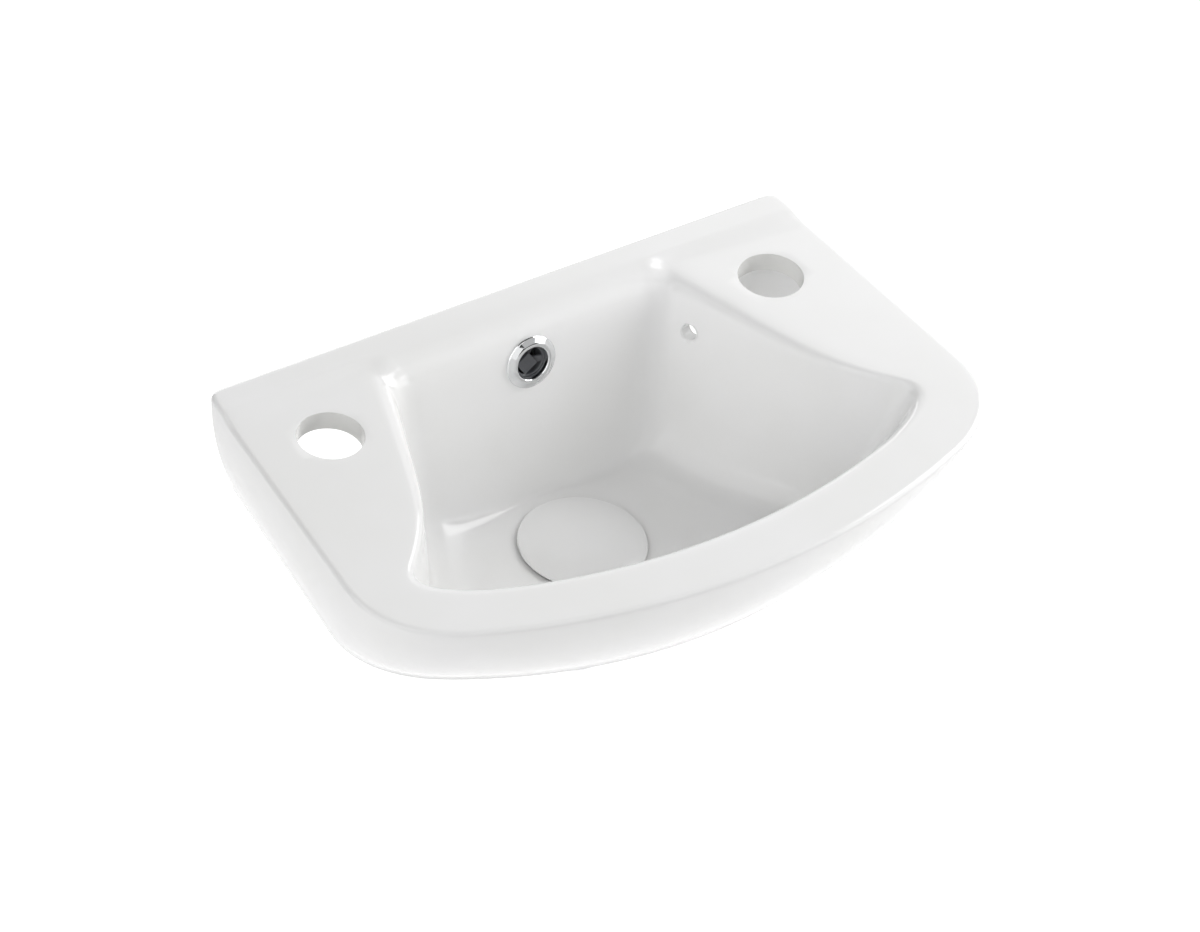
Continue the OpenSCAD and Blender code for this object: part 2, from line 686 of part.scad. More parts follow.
// Dark plastic clip inside the ring: a tube, a cross with a square face, a tongue, and two hooks behind
module overflow_clip() {
    tube_r = ring_bore_d / 2 - running_gap;
    hook_z = -wall_t - easy_gap - hook_t;
    color("dimgray")
        at_overflow()
            union() {
                band(tube_r, tube_r - clip_wall, -sleeve_l, -clip_recess);
                for (turn = [45, 135])
                    rotate([0, 0, turn])
                        translate([-tube_r + clip_wall / 2, -clip_arm_w / 2, -sleeve_l])
                            cube([2 * tube_r - clip_wall, clip_arm_w, clip_arm_t]);
                translate([-face_left, -face_down, -sleeve_l])
                    rotate([0, 0, face_turn])
                        cylinder(h = sleeve_l - face_recess, r = clip_face_w / sqrt(2), $fn = 4);
                // Tongue from the face to the right side of the tube
                translate([0, -face_down - tongue_w / 2, -sleeve_l])
                    cube([tube_r - clip_wall / 2, tongue_w, sleeve_l - clip_recess]);
                // Hooks at the left and right
                for (turn = [0, 180])
                    rotate([0, 0, turn])
                        translate([tube_r - clip_wall, -hook_w / 2, hook_z]) {
                            cube([clip_wall - running_gap, hook_w, -hook_z - sleeve_l + past / 4]);
                            cube([overflow_hole_d / 2 + hook_reach - tube_r + clip_wall, hook_w, hook_t]);
                        }
            }
}

// Thin sealing ring between the flange and the ceramic
module flange_seal() {
    color("gainsboro")
        at_waste()
            band(flange_d / 2 - easy_gap, waste_hole_d / 2 + easy_gap, seal_z, seal_z + flange_seal_t);
}

// Chromed brass waste: flange, threaded tail with overflow slots, and a crossbar that holds the cartridge
module waste_body() {
    flange_low = -flange_sink - flange_t;
    // How far a crossbar arm runs into the wall of the tail
    arm_root = (tail_d - bore_d) / 6;
    color("silver")
        at_waste()
            difference() {
                union() {
                    rotate_extrude()
                        polygon([
                            [bore_d / 2, tail_z],
                            [tail_d / 2 - tail_edge, tail_z],
                            [tail_d / 2, tail_z + tail_edge],
                            [tail_d / 2, relief_z - relief_w],
                            [tail_d / 2 - relief_t, relief_z - relief_w],
                            [tail_d / 2 - relief_t, relief_z],
                            [tail_d / 2, relief_z],
                            [tail_d / 2, flange_low],
                            [flange_d / 2 - flange_edge / 2, flange_low],
                            [flange_d / 2, flange_low + flange_edge],
                            [flange_d / 2 - flange_edge * 1.5, -flange_sink],
                            [bore_d / 2 + funnel_w, -flange_sink],
                            [bore_d / 2, -flange_sink - funnel_h]
                        ]);
                    translate([0, 0, lock_nut_top_z])
                        cylinder(h = crossbar_h, d = housing_d);
                    for (turn = [45, 135])
                        rotate([0, 0, turn])
                            translate([-bore_d / 2 - arm_root, -crossbar_w / 2, lock_nut_top_z])
                                cube([bore_d + 2 * arm_root, crossbar_w, crossbar_h]);
                }
                // Hole for the cartridge stem
                translate([0, 0, lock_nut_top_z - past])
                    cylinder(h = crossbar_h + 2 * past, r = stem_d / 2 + running_gap);
                // Overflow slots
                for (turn = [0, 90])
                    rotate([0, 0, turn])
                        translate([-tail_d, -slot_w / 2, slot_z - slot_h])
                            cube([2 * tail_d, slot_w, slot_h]);
            }
}

// Rubber seal under the boss
module tail_seal() {
    color([0.15, 0.15, 0.15])
        at_waste()
            band(tail_seal_d / 2, tail_d / 2 + easy_gap, -boss_h - tail_seal_t, -boss_h);
}

// Plastic washer that lets the nut turn on the seal
module slip_washer() {
    color("whitesmoke")
        at_waste()
            band(washer_d / 2, tail_d / 2 + easy_gap, nut_top_z, nut_top_z + washer_t);
}

// Brass back nut
module back_nut() {
    color("goldenrod")
        at_waste()
            difference() {
                hexagon(nut_af, nut_top_z - nut_t, nut_top_z);
                translate([0, 0, nut_top_z - nut_t - past])
                    cylinder(h = nut_t + 2 * past, r = tail_d / 2 + running_gap);
            }
}

// White ceramic dome that covers the waste
module plug_cap() {
    top_z = cap_gap + cap_edge_t;
    // Radius of the dome from its rise and the width that it spans
    flat_r = cap_d / 2 - cap_top_edge;
    dome_r = (flat_r * flat_r + cap_rise * cap_rise) / 2 / cap_rise;
    dome_steps = 10;
    color("white")
        at_waste()
            rotate_extrude()
                polygon(concat(
                    [[0, cap_gap + carrier_t], [carrier_d / 2 + easy_gap, cap_gap + carrier_t],
                        [carrier_d / 2 + easy_gap, cap_gap], [cap_d / 2 - cap_low_edge, cap_gap],
                        [cap_d / 2, cap_gap + cap_low_edge], [cap_d / 2, top_z - cap_top_edge * 0.7],
                        [cap_d / 2 - cap_top_edge * 0.3, top_z - cap_top_edge * 0.22]],
                    [for (j = [0:dome_steps]) let (r = flat_r * (1 - j / dome_steps))
                        [r, top_z + cap_rise - dome_r + sqrt(dome_r * dome_r - r * r)]]
                ));
}

// Plastic carrier glued into the cap: disc, skirt with a groove for the seal, ribs and a threaded hub
module plug_carrier() {
    skirt_low = carrier_z - skirt_h;
    middle_z = carrier_z + carrier_t / 2;
    rib_low = groove_z + plug_seal_t / 2;
    rib_l = skirt_d - skirt_wall;
    groove_half = plug_seal_t / 2 + running_gap;
    color("lightgray")
        at_waste()
            difference() {
                union() {
                    translate([0, 0, carrier_z])
                        cylinder(h = carrier_t, d = carrier_d);
                    band(skirt_d / 2, skirt_d / 2 - skirt_wall, skirt_low, middle_z);
                    translate([0, 0, hub_low_z])
                        cylinder(h = middle_z - hub_low_z, d = rod_d + 2 * hub_wall);
                    for (turn = [0, 90])
                        rotate([0, 0, turn])
                            translate([-rib_l / 2, -rib_t / 2, rib_low])
                                cube([rib_l, rib_t, middle_z - rib_low]);
                }
                // Hole for the plunger rod
                translate([0, 0, hub_low_z - past])
                    cylinder(h = carrier_z - hub_low_z + past, r = rod_d / 2 + thread_gap);
                // Groove for the seal
                band(skirt_d / 2 + past, skirt_d / 2 - groove_half, groove_z - groove_half,
                    groove_z + groove_half);
            }
}

// Rubber ring in the groove of the carrier
module plug_seal() {
    color([0.1, 0.1, 0.1])
        at_waste()
            translate([0, 0, groove_z])
                rotate_extrude()
                    translate([skirt_d / 2, 0])
                        circle(d = plug_seal_t, $fn = 24);
}

// Cup that holds the push mechanism, with a stem that goes through the crossbar
module cartridge_housing() {
    color("white")
        at_waste()
            difference() {
                union() {
                    translate([0, 0, crossbar_top_z])
                        cylinder(h = housing_top_z - crossbar_top_z, d = housing_d);
                    translate([0, 0, lock_nut_top_z - lock_nut_t - stem_end])
                        cylinder(h = crossbar_h + lock_nut_t + stem_end + past, d = stem_d);
                }
                translate([0, 0, housing_floor_z])
                    cylinder(h = housing_top_z - housing_floor_z + past, r = shoulder_d / 2 + running_gap);
            }
}

// Lid that screws over the housing and keeps the plunger in
module cartridge_cap() {
    lid_r = housing_d / 2 + running_gap + lid_wall;
    color("lightgray")
        at_waste()
            union() {
                band(lid_r, rod_d / 2 + easy_gap, housing_top_z, housing_top_z + lid_t);
                band(lid_r, housing_d / 2 + running_gap, housing_top_z - lid_l, housing_top_z + lid_t / 2);
            }
}

// Plunger: rod into the carrier, shoulder that stops it, and a pin that guides the spring
module cartridge_plunger() {
    pin_low = housing_floor_z + pin_gap;
    color("silver")
        at_waste()
            union() {
                translate([0, 0, shoulder_top_z - shoulder_t / 2])
                    cylinder(h = carrier_z - easy_gap - shoulder_top_z + shoulder_t / 2, d = rod_d);
                translate([0, 0, shoulder_top_z - shoulder_t])
                    cylinder(h = shoulder_t, d = shoulder_d);
                translate([0, 0, pin_low])
                    cylinder(h = shoulder_top_z - shoulder_t / 2 - pin_low, d = pin_d);
            }
}

// Rotor that turns at each push and latches the plunger up or down
module cartridge_rotor() {
    rotor_r = shoulder_d / 2 - easy_gap;
    color("orange")
        at_waste()
            difference() {
                translate([0, 0, rotor_top_z - rotor_h])
                    cylinder(h = rotor_h, r = rotor_r);
                translate([0, 0, rotor_top_z - rotor_h - past])
                    cylinder(h = rotor_h + 2 * past, r = pin_d / 2 + easy_gap);
                // Four notches that ride on the guides of the housing
                for (turn = [0:90:270])
                    rotate([0, 0, turn])
                        translate([rotor_r - notch_d, -notch_w / 2, rotor_top_z - rotor_h - past])
                            cube([notch_d + past, notch_w, rotor_h + 2 * past]);
            }
}

// Steel spring: one round wire wound in a helix, with 8 rings to each turn
module cartridge_spring() {
    steps = round(spring_turns * 8);
    sides = 6;
    wire_r = wire_d / 2;
    low = spring_top_z - spring_l + wire_r;
    rise = spring_l - wire_d;
    points = [for (j = [0:steps], i = [0:sides - 1])
        let (turn = j * 45, a = i * 360 / sides, r = spring_r + wire_r * cos(a))
        [r * cos(turn), r * sin(turn), low + rise * j / steps + wire_r * sin(a)]];
    walls = [for (j = [0:steps - 1], i = [0:sides - 1])
        let (k = (i + 1) % sides, a = j * sides, b = a + sides)
        each [[a + i, b + i, b + k], [a + i, b + k, a + k]]];
    ends = [for (i = [1:sides - 2]) each [[0, i, i + 1],
        [steps * sides, steps * sides + i + 1, steps * sides + i]]];
    echo(least_gap_in_spring = rise / spring_turns - wire_d);
    color("silver")
        at_waste()
            polyhedron(points, concat(walls, ends), convexity = 8);
}

// Nut that holds the cartridge under the crossbar
module lock_nut() {
    color("goldenrod")
        at_waste()
            difference() {
                hexagon(lock_nut_af, lock_nut_top_z - lock_nut_t, lock_nut_top_z);
                translate([0, 0, lock_nut_top_z - lock_nut_t - past])
                    cylinder(h = lock_nut_t + 2 * past, r = stem_d / 2 + running_gap);
            }
}

basin();
overflow_ring();
overflow_clip();
flange_seal();
waste_body();
tail_seal();
slip_washer();
back_nut();
plug_cap();
plug_carrier();
plug_seal();
cartridge_housing();
cartridge_cap();
cartridge_plunger();
cartridge_rotor();
cartridge_spring();
lock_nut();
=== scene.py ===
import math
import bmesh
import bpy
import numpy as np
from mathutils import Matrix


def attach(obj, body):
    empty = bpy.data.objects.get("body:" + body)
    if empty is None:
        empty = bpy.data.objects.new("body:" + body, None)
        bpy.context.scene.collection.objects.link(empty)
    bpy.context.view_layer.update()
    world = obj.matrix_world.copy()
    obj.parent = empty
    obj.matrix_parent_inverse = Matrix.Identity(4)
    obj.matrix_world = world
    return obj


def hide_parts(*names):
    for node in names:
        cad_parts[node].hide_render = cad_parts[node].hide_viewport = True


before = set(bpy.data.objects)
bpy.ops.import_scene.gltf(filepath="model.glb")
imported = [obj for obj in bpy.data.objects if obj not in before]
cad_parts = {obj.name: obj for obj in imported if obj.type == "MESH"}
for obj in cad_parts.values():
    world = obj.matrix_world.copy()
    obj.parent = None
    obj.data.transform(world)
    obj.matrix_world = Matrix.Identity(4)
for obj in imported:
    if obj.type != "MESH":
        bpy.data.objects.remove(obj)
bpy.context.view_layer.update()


# Camera: a long lens above the left front corner of the basin, tipped a little.
# The view is the one fitted to the tap holes, the outline and the bowl in the photograph.
# It comes first, and its numbers are millimetres and degrees.
MM = 0.001
VIEW_AZIMUTH, VIEW_ELEVATION, VIEW_ROLL = -38.076, 42.032, 7.104
VIEW_DISTANCE, VIEW_LENS, VIEW_SENSOR = 3027.5, 175.927, 36
VIEW_TARGET = np.array([-0.677, -105.193, -12.0])


def camera_axes(azimuth, elevation, roll):
    """Right, up and back vectors of a camera: back points from the target to the camera, right is level
    before the roll, and the roll turns right and up about back."""
    a, e, r = np.radians([azimuth, elevation, roll])
    back = np.array([math.sin(a) * math.cos(e), -math.cos(a) * math.cos(e), math.sin(e)])
    right = np.cross(-back, [0, 0, 1])
    right /= np.linalg.norm(right)
    up = np.cross(right, -back)
    return right * math.cos(r) + up * math.sin(r), up * math.cos(r) - right * math.sin(r), back


view_right, view_up, view_back = camera_axes(VIEW_AZIMUTH, VIEW_ELEVATION, VIEW_ROLL)
view = np.identity(4)
view[:3, 0], view[:3, 1], view[:3, 2] = view_right, view_up, view_back
view[:3, 3] = (VIEW_TARGET + view_back * VIEW_DISTANCE) * MM
camera_data = bpy.data.cameras.new("camera")
camera_data.lens = VIEW_LENS
camera_data.sensor_width = VIEW_SENSOR
camera_data.sensor_fit = "HORIZONTAL"
camera_data.clip_end = 50
camera = bpy.data.objects.new("camera", camera_data)
bpy.context.scene.collection.objects.link(camera)
camera.matrix_world = Matrix(view.tolist())
bpy.context.scene.camera = camera
bpy.context.scene.view_settings.view_transform = "Standard"


# Basin: one piece of vitreous china, slip cast in a plaster mould, so every edge is round.
# It is glazed all over but for the strip that stands against the wall, and hangs on two bolts there.
# Levels are depths below the ledge at the wall, and the ledge lies 28 mm above the bolts.
BOLT_DROP = 28
BASIN_W, WALL_W, BASIN_D = 381.3, 352.5, 240
FRONT_R, FRONT_CORNER, BACK_CORNER, EDGE_R, WALL_EDGE_R = 405, 39.3, 8, 3, 3
APRON_H, LOW_W, LOW_WALL_W, LOW_D = 70, 351, 320.6, 212.7
LOW_FRONT_R, LOW_CORNER, LIP_R, WALL_T, DECK_T = 287.5, 31.8, 3, 7, 11.2
LEDGE_D, LEDGE_H, LEDGE_SLOPE, FLANGE_H, BELLY = 12, 2.2, 16, 42, 0.15
BOWL_BACK_D, BOWL_BACK_W, BOWL_CORNER = 30, 167, 12
BOWL_TURN_W, BOWL_TURN_D, BOWL_TURN = 249.6, 132, 31.5
BOWL_LOBE_W, BOWL_LOBE, BOWL_FRONT_D, BOWL_FRONT_R = 328.5, 44, 208, 372
RIM_R, RIM_BACK_R = 6, 16
FLOOR_H, FLOOR_RISE, FLOOR_BACK_D, FLOOR_BACK_W, FLOOR_CORNER = 102.5, 0.1, 52.5, 152, 17
FLOOR_TURN_W, FLOOR_TURN_D, FLOOR_LOBE_W, FLOOR_FRONT_D = 210.5, 121, 257, 172
WASTE = np.array([0.0, -97.6])
LEVEL_R, BOSS_H, BOSS_D, BOSS_FLARE = 37, 32, 76, 3
# Where the lower edge starts to fall from the wall flange to the apron, and over what width
FALL_START, FALL_W = 138, 28
# Level ground in front of the slope of the ledge, and straight edge beside each back corner of the bowl
LEDGE_CLEAR, BOWL_STRIP = 2, 9
# How much finer each stretch of an outline, and each band between two rings, is than in the solid
FINE_ROUND, FINE_UP = 4, 4
PARTS_ROUND = [6, 3, 6, 6, 4, 7, 8]


def mix(a, b, t):
    """A point, or a whole ring of points, a share t of the way from a to b."""
    return a + (b - a) * t


def steps(n, like):
    """Shares 0, 1/n ... (n - 1)/n, shaped to multiply a point or a ring of points."""
    return (np.arange(n) / n).reshape((-1,) + (1,) * np.ndim(like))


def line(a, b, n):
    """n points, or rings, on a straight line from a to b, which is left out."""
    return mix(a, b, steps(n, a))


def bend(a, b, c, n):
    """n points, or rings, of the curve (1 - t)^2 a + 2 t (1 - t) b + t^2 c, without c."""
    t = steps(n, a)
    return a * (1 - t) ** 2 + b * 2 * t * (1 - t) + c * t ** 2


def along(a, b, length):
    """The point, or points, a length along the line from a toward b."""
    return a + (b - a) * (length / np.linalg.norm(b - a, axis=-1, keepdims=True))


def bow_y(x, depth, radius):
    """Y of an arc that bows toward the room and stands a depth from the wall at its middle."""
    return radius - depth - np.sqrt(radius * radius - x * x)


def ease(t):
    """Rise from 0 to 1 with a level start and end: 3 t^2 - 2 t^3."""
    u = np.clip(t, 0, 1)
    return u * u * (3 - 2 * u)


def half_outline(points):
    """Half an outline from the middle of the back to the middle of the front: straight back, rounded
    corner, side in three stretches, rounded front corner, and front arc, each FINE_ROUND times finer."""
    n = [k * FINE_ROUND for k in PARTS_ROUND]
    x = points["front_x"] * (1 - np.arange(n[6] + 1) / n[6])
    front = np.stack([x, bow_y(x, points["depth"], points["radius"])], 1)
    pieces = points["side"](n)
    return np.concatenate(pieces + [front])


def shell_half(k, back, side):
    """Half the outer outline: k is 0 at the top and 1 at the lower edge of the apron, and every size is
    mixed between the two. It is drawn in by back along the wall and by side elsewhere."""
    corner = np.array([mix(WALL_W, LOW_WALL_W, k) / 2 - side, -back])
    lobe_x, depth = mix(BASIN_W, LOW_W, k) / 2 - side, mix(BASIN_D, LOW_D, k) - side
    radius, corner_l = mix(FRONT_R, LOW_FRONT_R, k), mix(FRONT_CORNER, LOW_CORNER, k)
    lobe = np.array([lobe_x, bow_y(lobe_x, depth, radius)])
    front_x = lobe_x - corner_l
    slope_end = along(corner, lobe, LEDGE_D + LEDGE_SLOPE + LEDGE_CLEAR)
    turn_start = along(corner, lobe, BOWL_TURN_D - BOWL_TURN)
    lobe_start, corner_end = along(lobe, corner, corner_l), along(corner, lobe, BACK_CORNER)
    start = corner - [BACK_CORNER, 0]
    front = np.array([front_x, bow_y(front_x, depth, radius)])
    return half_outline(dict(front_x=front_x, depth=depth, radius=radius, side=lambda n: [
        line(np.array([0, -back]), start, n[0]), bend(start, corner, corner_end, n[1]),
        line(corner_end, slope_end, n[2]), line(slope_end, turn_start, n[3]),
        line(turn_start, lobe_start, n[4]), bend(lobe_start, lobe, front, n[5])]))


def bowl_half(k, back, side, corner_side):
    """Half the outline of the bowl: k is 0 at its edge and 1 at its floor. It is grown by back at the
    back, by side at the sides and front, and by corner_side sideways at the back corners."""
    corner = np.array([mix(BOWL_BACK_W, FLOOR_BACK_W, k) / 2 + corner_side,
                       back - mix(BOWL_BACK_D, FLOOR_BACK_D, k)])
    turn = np.array([mix(BOWL_TURN_W, FLOOR_TURN_W, k) / 2 + side, -mix(BOWL_TURN_D, FLOOR_TURN_D, k)])
    lobe_x, depth = mix(BOWL_LOBE_W, FLOOR_LOBE_W, k) / 2 + side, mix(BOWL_FRONT_D, FLOOR_FRONT_D, k) + side
    lobe = np.array([lobe_x, bow_y(lobe_x, depth, BOWL_FRONT_R)])
    corner_l, front_x = mix(BOWL_CORNER, FLOOR_CORNER, k), lobe_x - BOWL_LOBE
    front = np.array([front_x, bow_y(front_x, depth, BOWL_FRONT_R)])
    strip, start = corner - [corner_l + BOWL_STRIP, 0], corner - [corner_l, 0]
    corner_end, turn_start = along(corner, turn, corner_l), along(turn, corner, BOWL_TURN)
    turn_end = along(turn, lobe, BOWL_TURN)
    return half_outline(dict(front_x=front_x, depth=depth, radius=BOWL_FRONT_R, side=lambda n: [
        line(np.array([0, corner[1]]), strip, n[0]), line(strip, start, n[1]),
        bend(start, corner, corner_end, n[2]), line(corner_end, turn_start, n[3]),
        bend(turn_start, turn, turn_end, n[4]), bend(turn_end, lobe, front, n[5])]))


def circle_half(r):
    """Half a circle round the waste, with a point in the direction of each point of the bowl floor."""
    return along(WASTE, bowl_half(1, 0, 0, 0), r)


def level(half, drop):
    """Half outline put at a depth below the ledge: one depth, or one for each point."""
    return np.column_stack([half, -np.broadcast_to(drop, len(half))])


def floor_level(half, more):
    """Depth of the bowl floor under each point: it rises slowly away from the level round the waste."""
    return FLOOR_H + more - FLOOR_RISE * np.maximum(0, np.linalg.norm(half - WASTE, axis=1) - LEVEL_R)


def basin_rings():
    """Rings of the basin's skin from the middle of the bowl floor, up the bowl, over the deck and the
    outer edge, down the apron, up inside it, along under the deck, and down to the boss."""
    up = FINE_UP
    top, low = shell_half(0, 0, 0), shell_half(1, 0, 0)
    top_drop = LEDGE_H * ease((-top[:, 1] - LEDGE_D) / LEDGE_SLOPE)
    # The apron stops short behind the tap decks, where the flange on the wall is open below
    flange_drop = mix(FLANGE_H, APRON_H, ease((top[:, 0] - FALL_START) / FALL_W))
    low_drop = np.where(top[:, 1] > -1e-6, flange_drop, APRON_H)
    floor_edge, bowl_low = bowl_half(1, 0, 0, 0), bowl_half(1, WALL_T, WALL_T, CORNER_T)
    floor_ring = level(floor_edge, floor_level(floor_edge, 0))
    level_ring = level(circle_half(LEVEL_R), FLOOR_H)
    rim_ring = level(bowl_half(0, 0, 0, 0), top_drop)
    deck_ring = level(bowl_half(0, RIM_BACK_R, RIM_R, RIM_R), top_drop)
    foot_ring = mix(floor_ring, rim_ring, 0.3)
    brow_ring = along(rim_ring, floor_ring, np.linalg.norm(deck_ring - rim_ring, axis=1, keepdims=True))
    start_ring = mix(level_ring, floor_ring, 0.5)
    edge_ring = level(shell_half(0, WALL_EDGE_R, EDGE_R), top_drop)
    side_ring = level(top, top_drop + EDGE_R)
    belly_ring = level(shell_half(BELLY, 0, 0), (low_drop + top_drop + EDGE_R) / 2)
    toe_ring, low_ring = level(low, low_drop - LIP_R), level(low, low_drop)
    sole_ring = level(shell_half(1, LIP_R, LIP_R), low_drop)
    inner_low = level(shell_half(1, WALL_T, WALL_T), low_drop)
    inner_top = level(shell_half(0, WALL_T, WALL_T), top_drop + DECK_T)
    bowl_top = level(bowl_half(0, WALL_T, WALL_T, CORNER_T), top_drop + DECK_T)
    bowl_low = level(bowl_low, floor_level(bowl_low, WALL_T))
    boss_top = level(circle_half(BOSS_D / 2 + BOSS_FLARE), FLOOR_H + WALL_T)
    boss = level(circle_half(BOSS_D / 2), FLOOR_H + BOSS_H)
    # Where each round corner of the hidden side starts and ends
    apron_end = mix(inner_low, inner_top, 0.85)
    deck_start, deck_end = mix(inner_top, bowl_top, 0.2), mix(bowl_top, inner_top, 0.2)
    bowl_start, bowl_end = mix(bowl_top, bowl_low, 0.1), mix(bowl_top, bowl_low, 0.75)
    sole_end, boss_start = mix(bowl_low, boss_top, 0.4), mix(boss_top, boss, 0.5)
    half = np.concatenate([
        level(np.tile(WASTE, (len(top), 1)), FLOOR_H)[None],
        line(level_ring, start_ring, 2 * up), bend(start_ring, floor_ring, foot_ring, 5 * up),
        line(foot_ring, brow_ring, 4 * up), bend(brow_ring, rim_ring, deck_ring, 3 * up),
        line(deck_ring, edge_ring, 2 * up), bend(edge_ring, level(top, top_drop), side_ring, 3 * up),
        bend(side_ring, belly_ring, toe_ring, 4 * up), bend(toe_ring, low_ring, sole_ring, 2 * up),
        line(sole_ring, inner_low, 2), line(inner_low, apron_end, 3 * up),
        bend(apron_end, inner_top, deck_start, 2 * up), line(deck_start, deck_end, up),
        bend(deck_end, bowl_top, bowl_start, 2 * up), line(bowl_start, bowl_end, 2 * up),
        bend(bowl_end, bowl_low, sole_end, 3 * up), bend(sole_end, boss_top, boss_start, 2 * up),
        boss[None],
        level(np.tile(WASTE, (len(top), 1)), FLOOR_H + BOSS_H)[None]])
    return np.concatenate([half, half[:, -2:0:-1] * [-1, 1, 1]], 1)


def relaxed(rings, times):
    """Rings with each point moved halfway toward the mean of its four neighbours, so that every edge and
    join is as soft as cast clay leaves it. The first two rings and the last two stay."""
    for _ in range(times):
        near = (np.roll(rings, 1, 1) + np.roll(rings, -1, 1))[2:-2] + rings[3:-1] + rings[1:-3]
        rings = np.concatenate([rings[:2], mix(rings[2:-2], near / 4, 0.5), rings[-2:]])
    return rings


def piece(name, rings, closed=False):
    """Smooth mesh object from an R x N x 3 array of rings in millimetres: each ring is a loop, each pair of
    rings is joined by quads, and closed also joins the last ring to the first. Points that fall together
    are merged, and the skin is turned outwards."""
    r, n = rings.shape[:2]
    a = (np.arange(r if closed else r - 1) * n)[:, None] + np.arange(n)
    b = (np.arange(r if closed else r - 1) * n)[:, None] + (np.arange(n) + 1) % n
    quads = np.stack([a, b, (b + n) % (r * n), (a + n) % (r * n)], -1).reshape(-1, 4)
    mesh = bpy.data.meshes.new(name)
    mesh.from_pydata((rings.reshape(-1, 3) * MM).tolist(), [], quads.tolist())
    skin = bmesh.new()
    skin.from_mesh(mesh)
    bmesh.ops.remove_doubles(skin, verts=skin.verts, dist=1e-6)
    bmesh.ops.recalc_face_normals(skin, faces=skin.faces)
    skin.to_mesh(mesh)
    skin.free()
    mesh.shade_smooth()
    thing = bpy.data.objects.new(name, mesh)
    bpy.context.scene.collection.objects.link(thing)
    return thing


def turned(profile, at=(0, 0, 0), axis=(0, 0, 1), around=96):
    """Rings of a turned shape: each profile point (r, h) gives at + h axis + r (cos a u + sin a v), with u
    and v square to the axis."""
    profile, axis = np.asarray(profile, float), np.asarray(axis, float) / np.linalg.norm(axis)
    u = np.cross(axis, [1, 0, 0] if abs(axis[0]) < 0.5 else [0, 1, 0])
    u /= np.linalg.norm(u)
    a = np.linspace(0, 2 * math.pi, around, endpoint=False)[:, None]
    spoke = np.cos(a) * u + np.sin(a) * np.cross(axis, u)
    return np.asarray(at) + profile[:, None, 1:] * axis + profile[:, None, :1] * spoke


def hole(r, length, lip, over=4, sink=0.02):
    """Profile of what is taken out for a hole: a straight wall between two edges that flare to the faces
    by a quarter circle each: (r + lip (1 - cos a), lip (sin a - 1)) from the first face. It stands out by
    over past both faces, and each flare ends by sink outside its face."""
    a = np.linspace(math.pi / 2, 0, 9)[:, None]
    flare = np.hstack([r + lip - lip * np.cos(a), sink - lip + lip * np.sin(a)])
    first = np.concatenate([[[0, over], [r + lip, over]], flare])
    return np.concatenate([first, first[::-1] * [1, -1] - [0, length]])


def carve(body, tools, operation):
    """The body with every tool cut out of it, or joined to it, as one mesh. The tools are removed."""
    for tool in tools:
        cut = body.modifiers.new("carve", "BOOLEAN")
        cut.operation, cut.solver, cut.object = operation, "EXACT", tool
    done = bpy.data.meshes.new_from_object(body.evaluated_get(bpy.context.evaluated_depsgraph_get()))
    body.modifiers.clear()
    body.data = done
    for tool in tools:
        bpy.data.objects.remove(tool)


SIDE_TURN = math.atan2((BOWL_TURN_W - BOWL_BACK_W) / 2, BOWL_TURN_D - BOWL_BACK_D)
SIDE_LEAN = math.atan((BOWL_TURN_W + BOWL_BACK_W - FLOOR_TURN_W - FLOOR_BACK_W) / 4 / FLOOR_H)
BACK_LEAN = math.atan((FLOOR_BACK_D - BOWL_BACK_D) / FLOOR_H)
CORNER_T = WALL_T * math.tan(math.pi / 4 - SIDE_TURN / 2)
raised = np.array([0, 0, BOLT_DROP])
basin = piece("basin_body", relaxed(basin_rings(), 2) + raised)

# Holes: two for taps, two for the wall bolts, one for a chain stay, one for the overflow, one for the waste
TAP_R, TAP_X, TAP_Y, TAP_LIP = 17.5, 136.1, -55.4, 0.4
BOLT_R, BOLT_X, BOLT_LIP = 6, 110, 1
CHAIN_R, CHAIN_Y, CHAIN_H, CHAIN_LIP = 4.5, -52.2, 25.5, 0.4
OVERFLOW_R, OVERFLOW_H, OVERFLOW_LIP = 11, 23.3, 0.8
WASTE_HOLE_R, SEAT_R, SEAT_H, SEAT_EDGE, CUT_PAST = 23, 33, 4.5, 1, 6
chain_x = (BOWL_BACK_W / 2 + (-CHAIN_Y - BOWL_BACK_D) * math.tan(SIDE_TURN)
           - CHAIN_H * math.tan(SIDE_LEAN) / math.cos(SIDE_TURN))
chain_out = np.array([math.cos(SIDE_TURN) * math.cos(SIDE_LEAN), math.sin(SIDE_TURN) * math.cos(SIDE_LEAN),
                      -math.sin(SIDE_LEAN)])
overflow_out = np.array([0, -math.cos(BACK_LEAN), math.sin(BACK_LEAN)])
overflow_at = np.array([0, -mix(BOWL_BACK_D, FLOOR_BACK_D, OVERFLOW_H / FLOOR_H), BOLT_DROP - OVERFLOW_H])
waste_at = np.array([0, WASTE[1], BOLT_DROP - FLOOR_H])
deck_z = BOLT_DROP - LEDGE_H
tools = [piece("tap_hole", turned(hole(TAP_R, DECK_T, TAP_LIP), (x, TAP_Y, deck_z))) for x in (-TAP_X, TAP_X)]
tools += [piece("bolt_hole", turned(hole(BOLT_R, WALL_T, BOLT_LIP), (x, 0, 0), (0, 1, 0), 48))
          for x in (-BOLT_X, BOLT_X)]
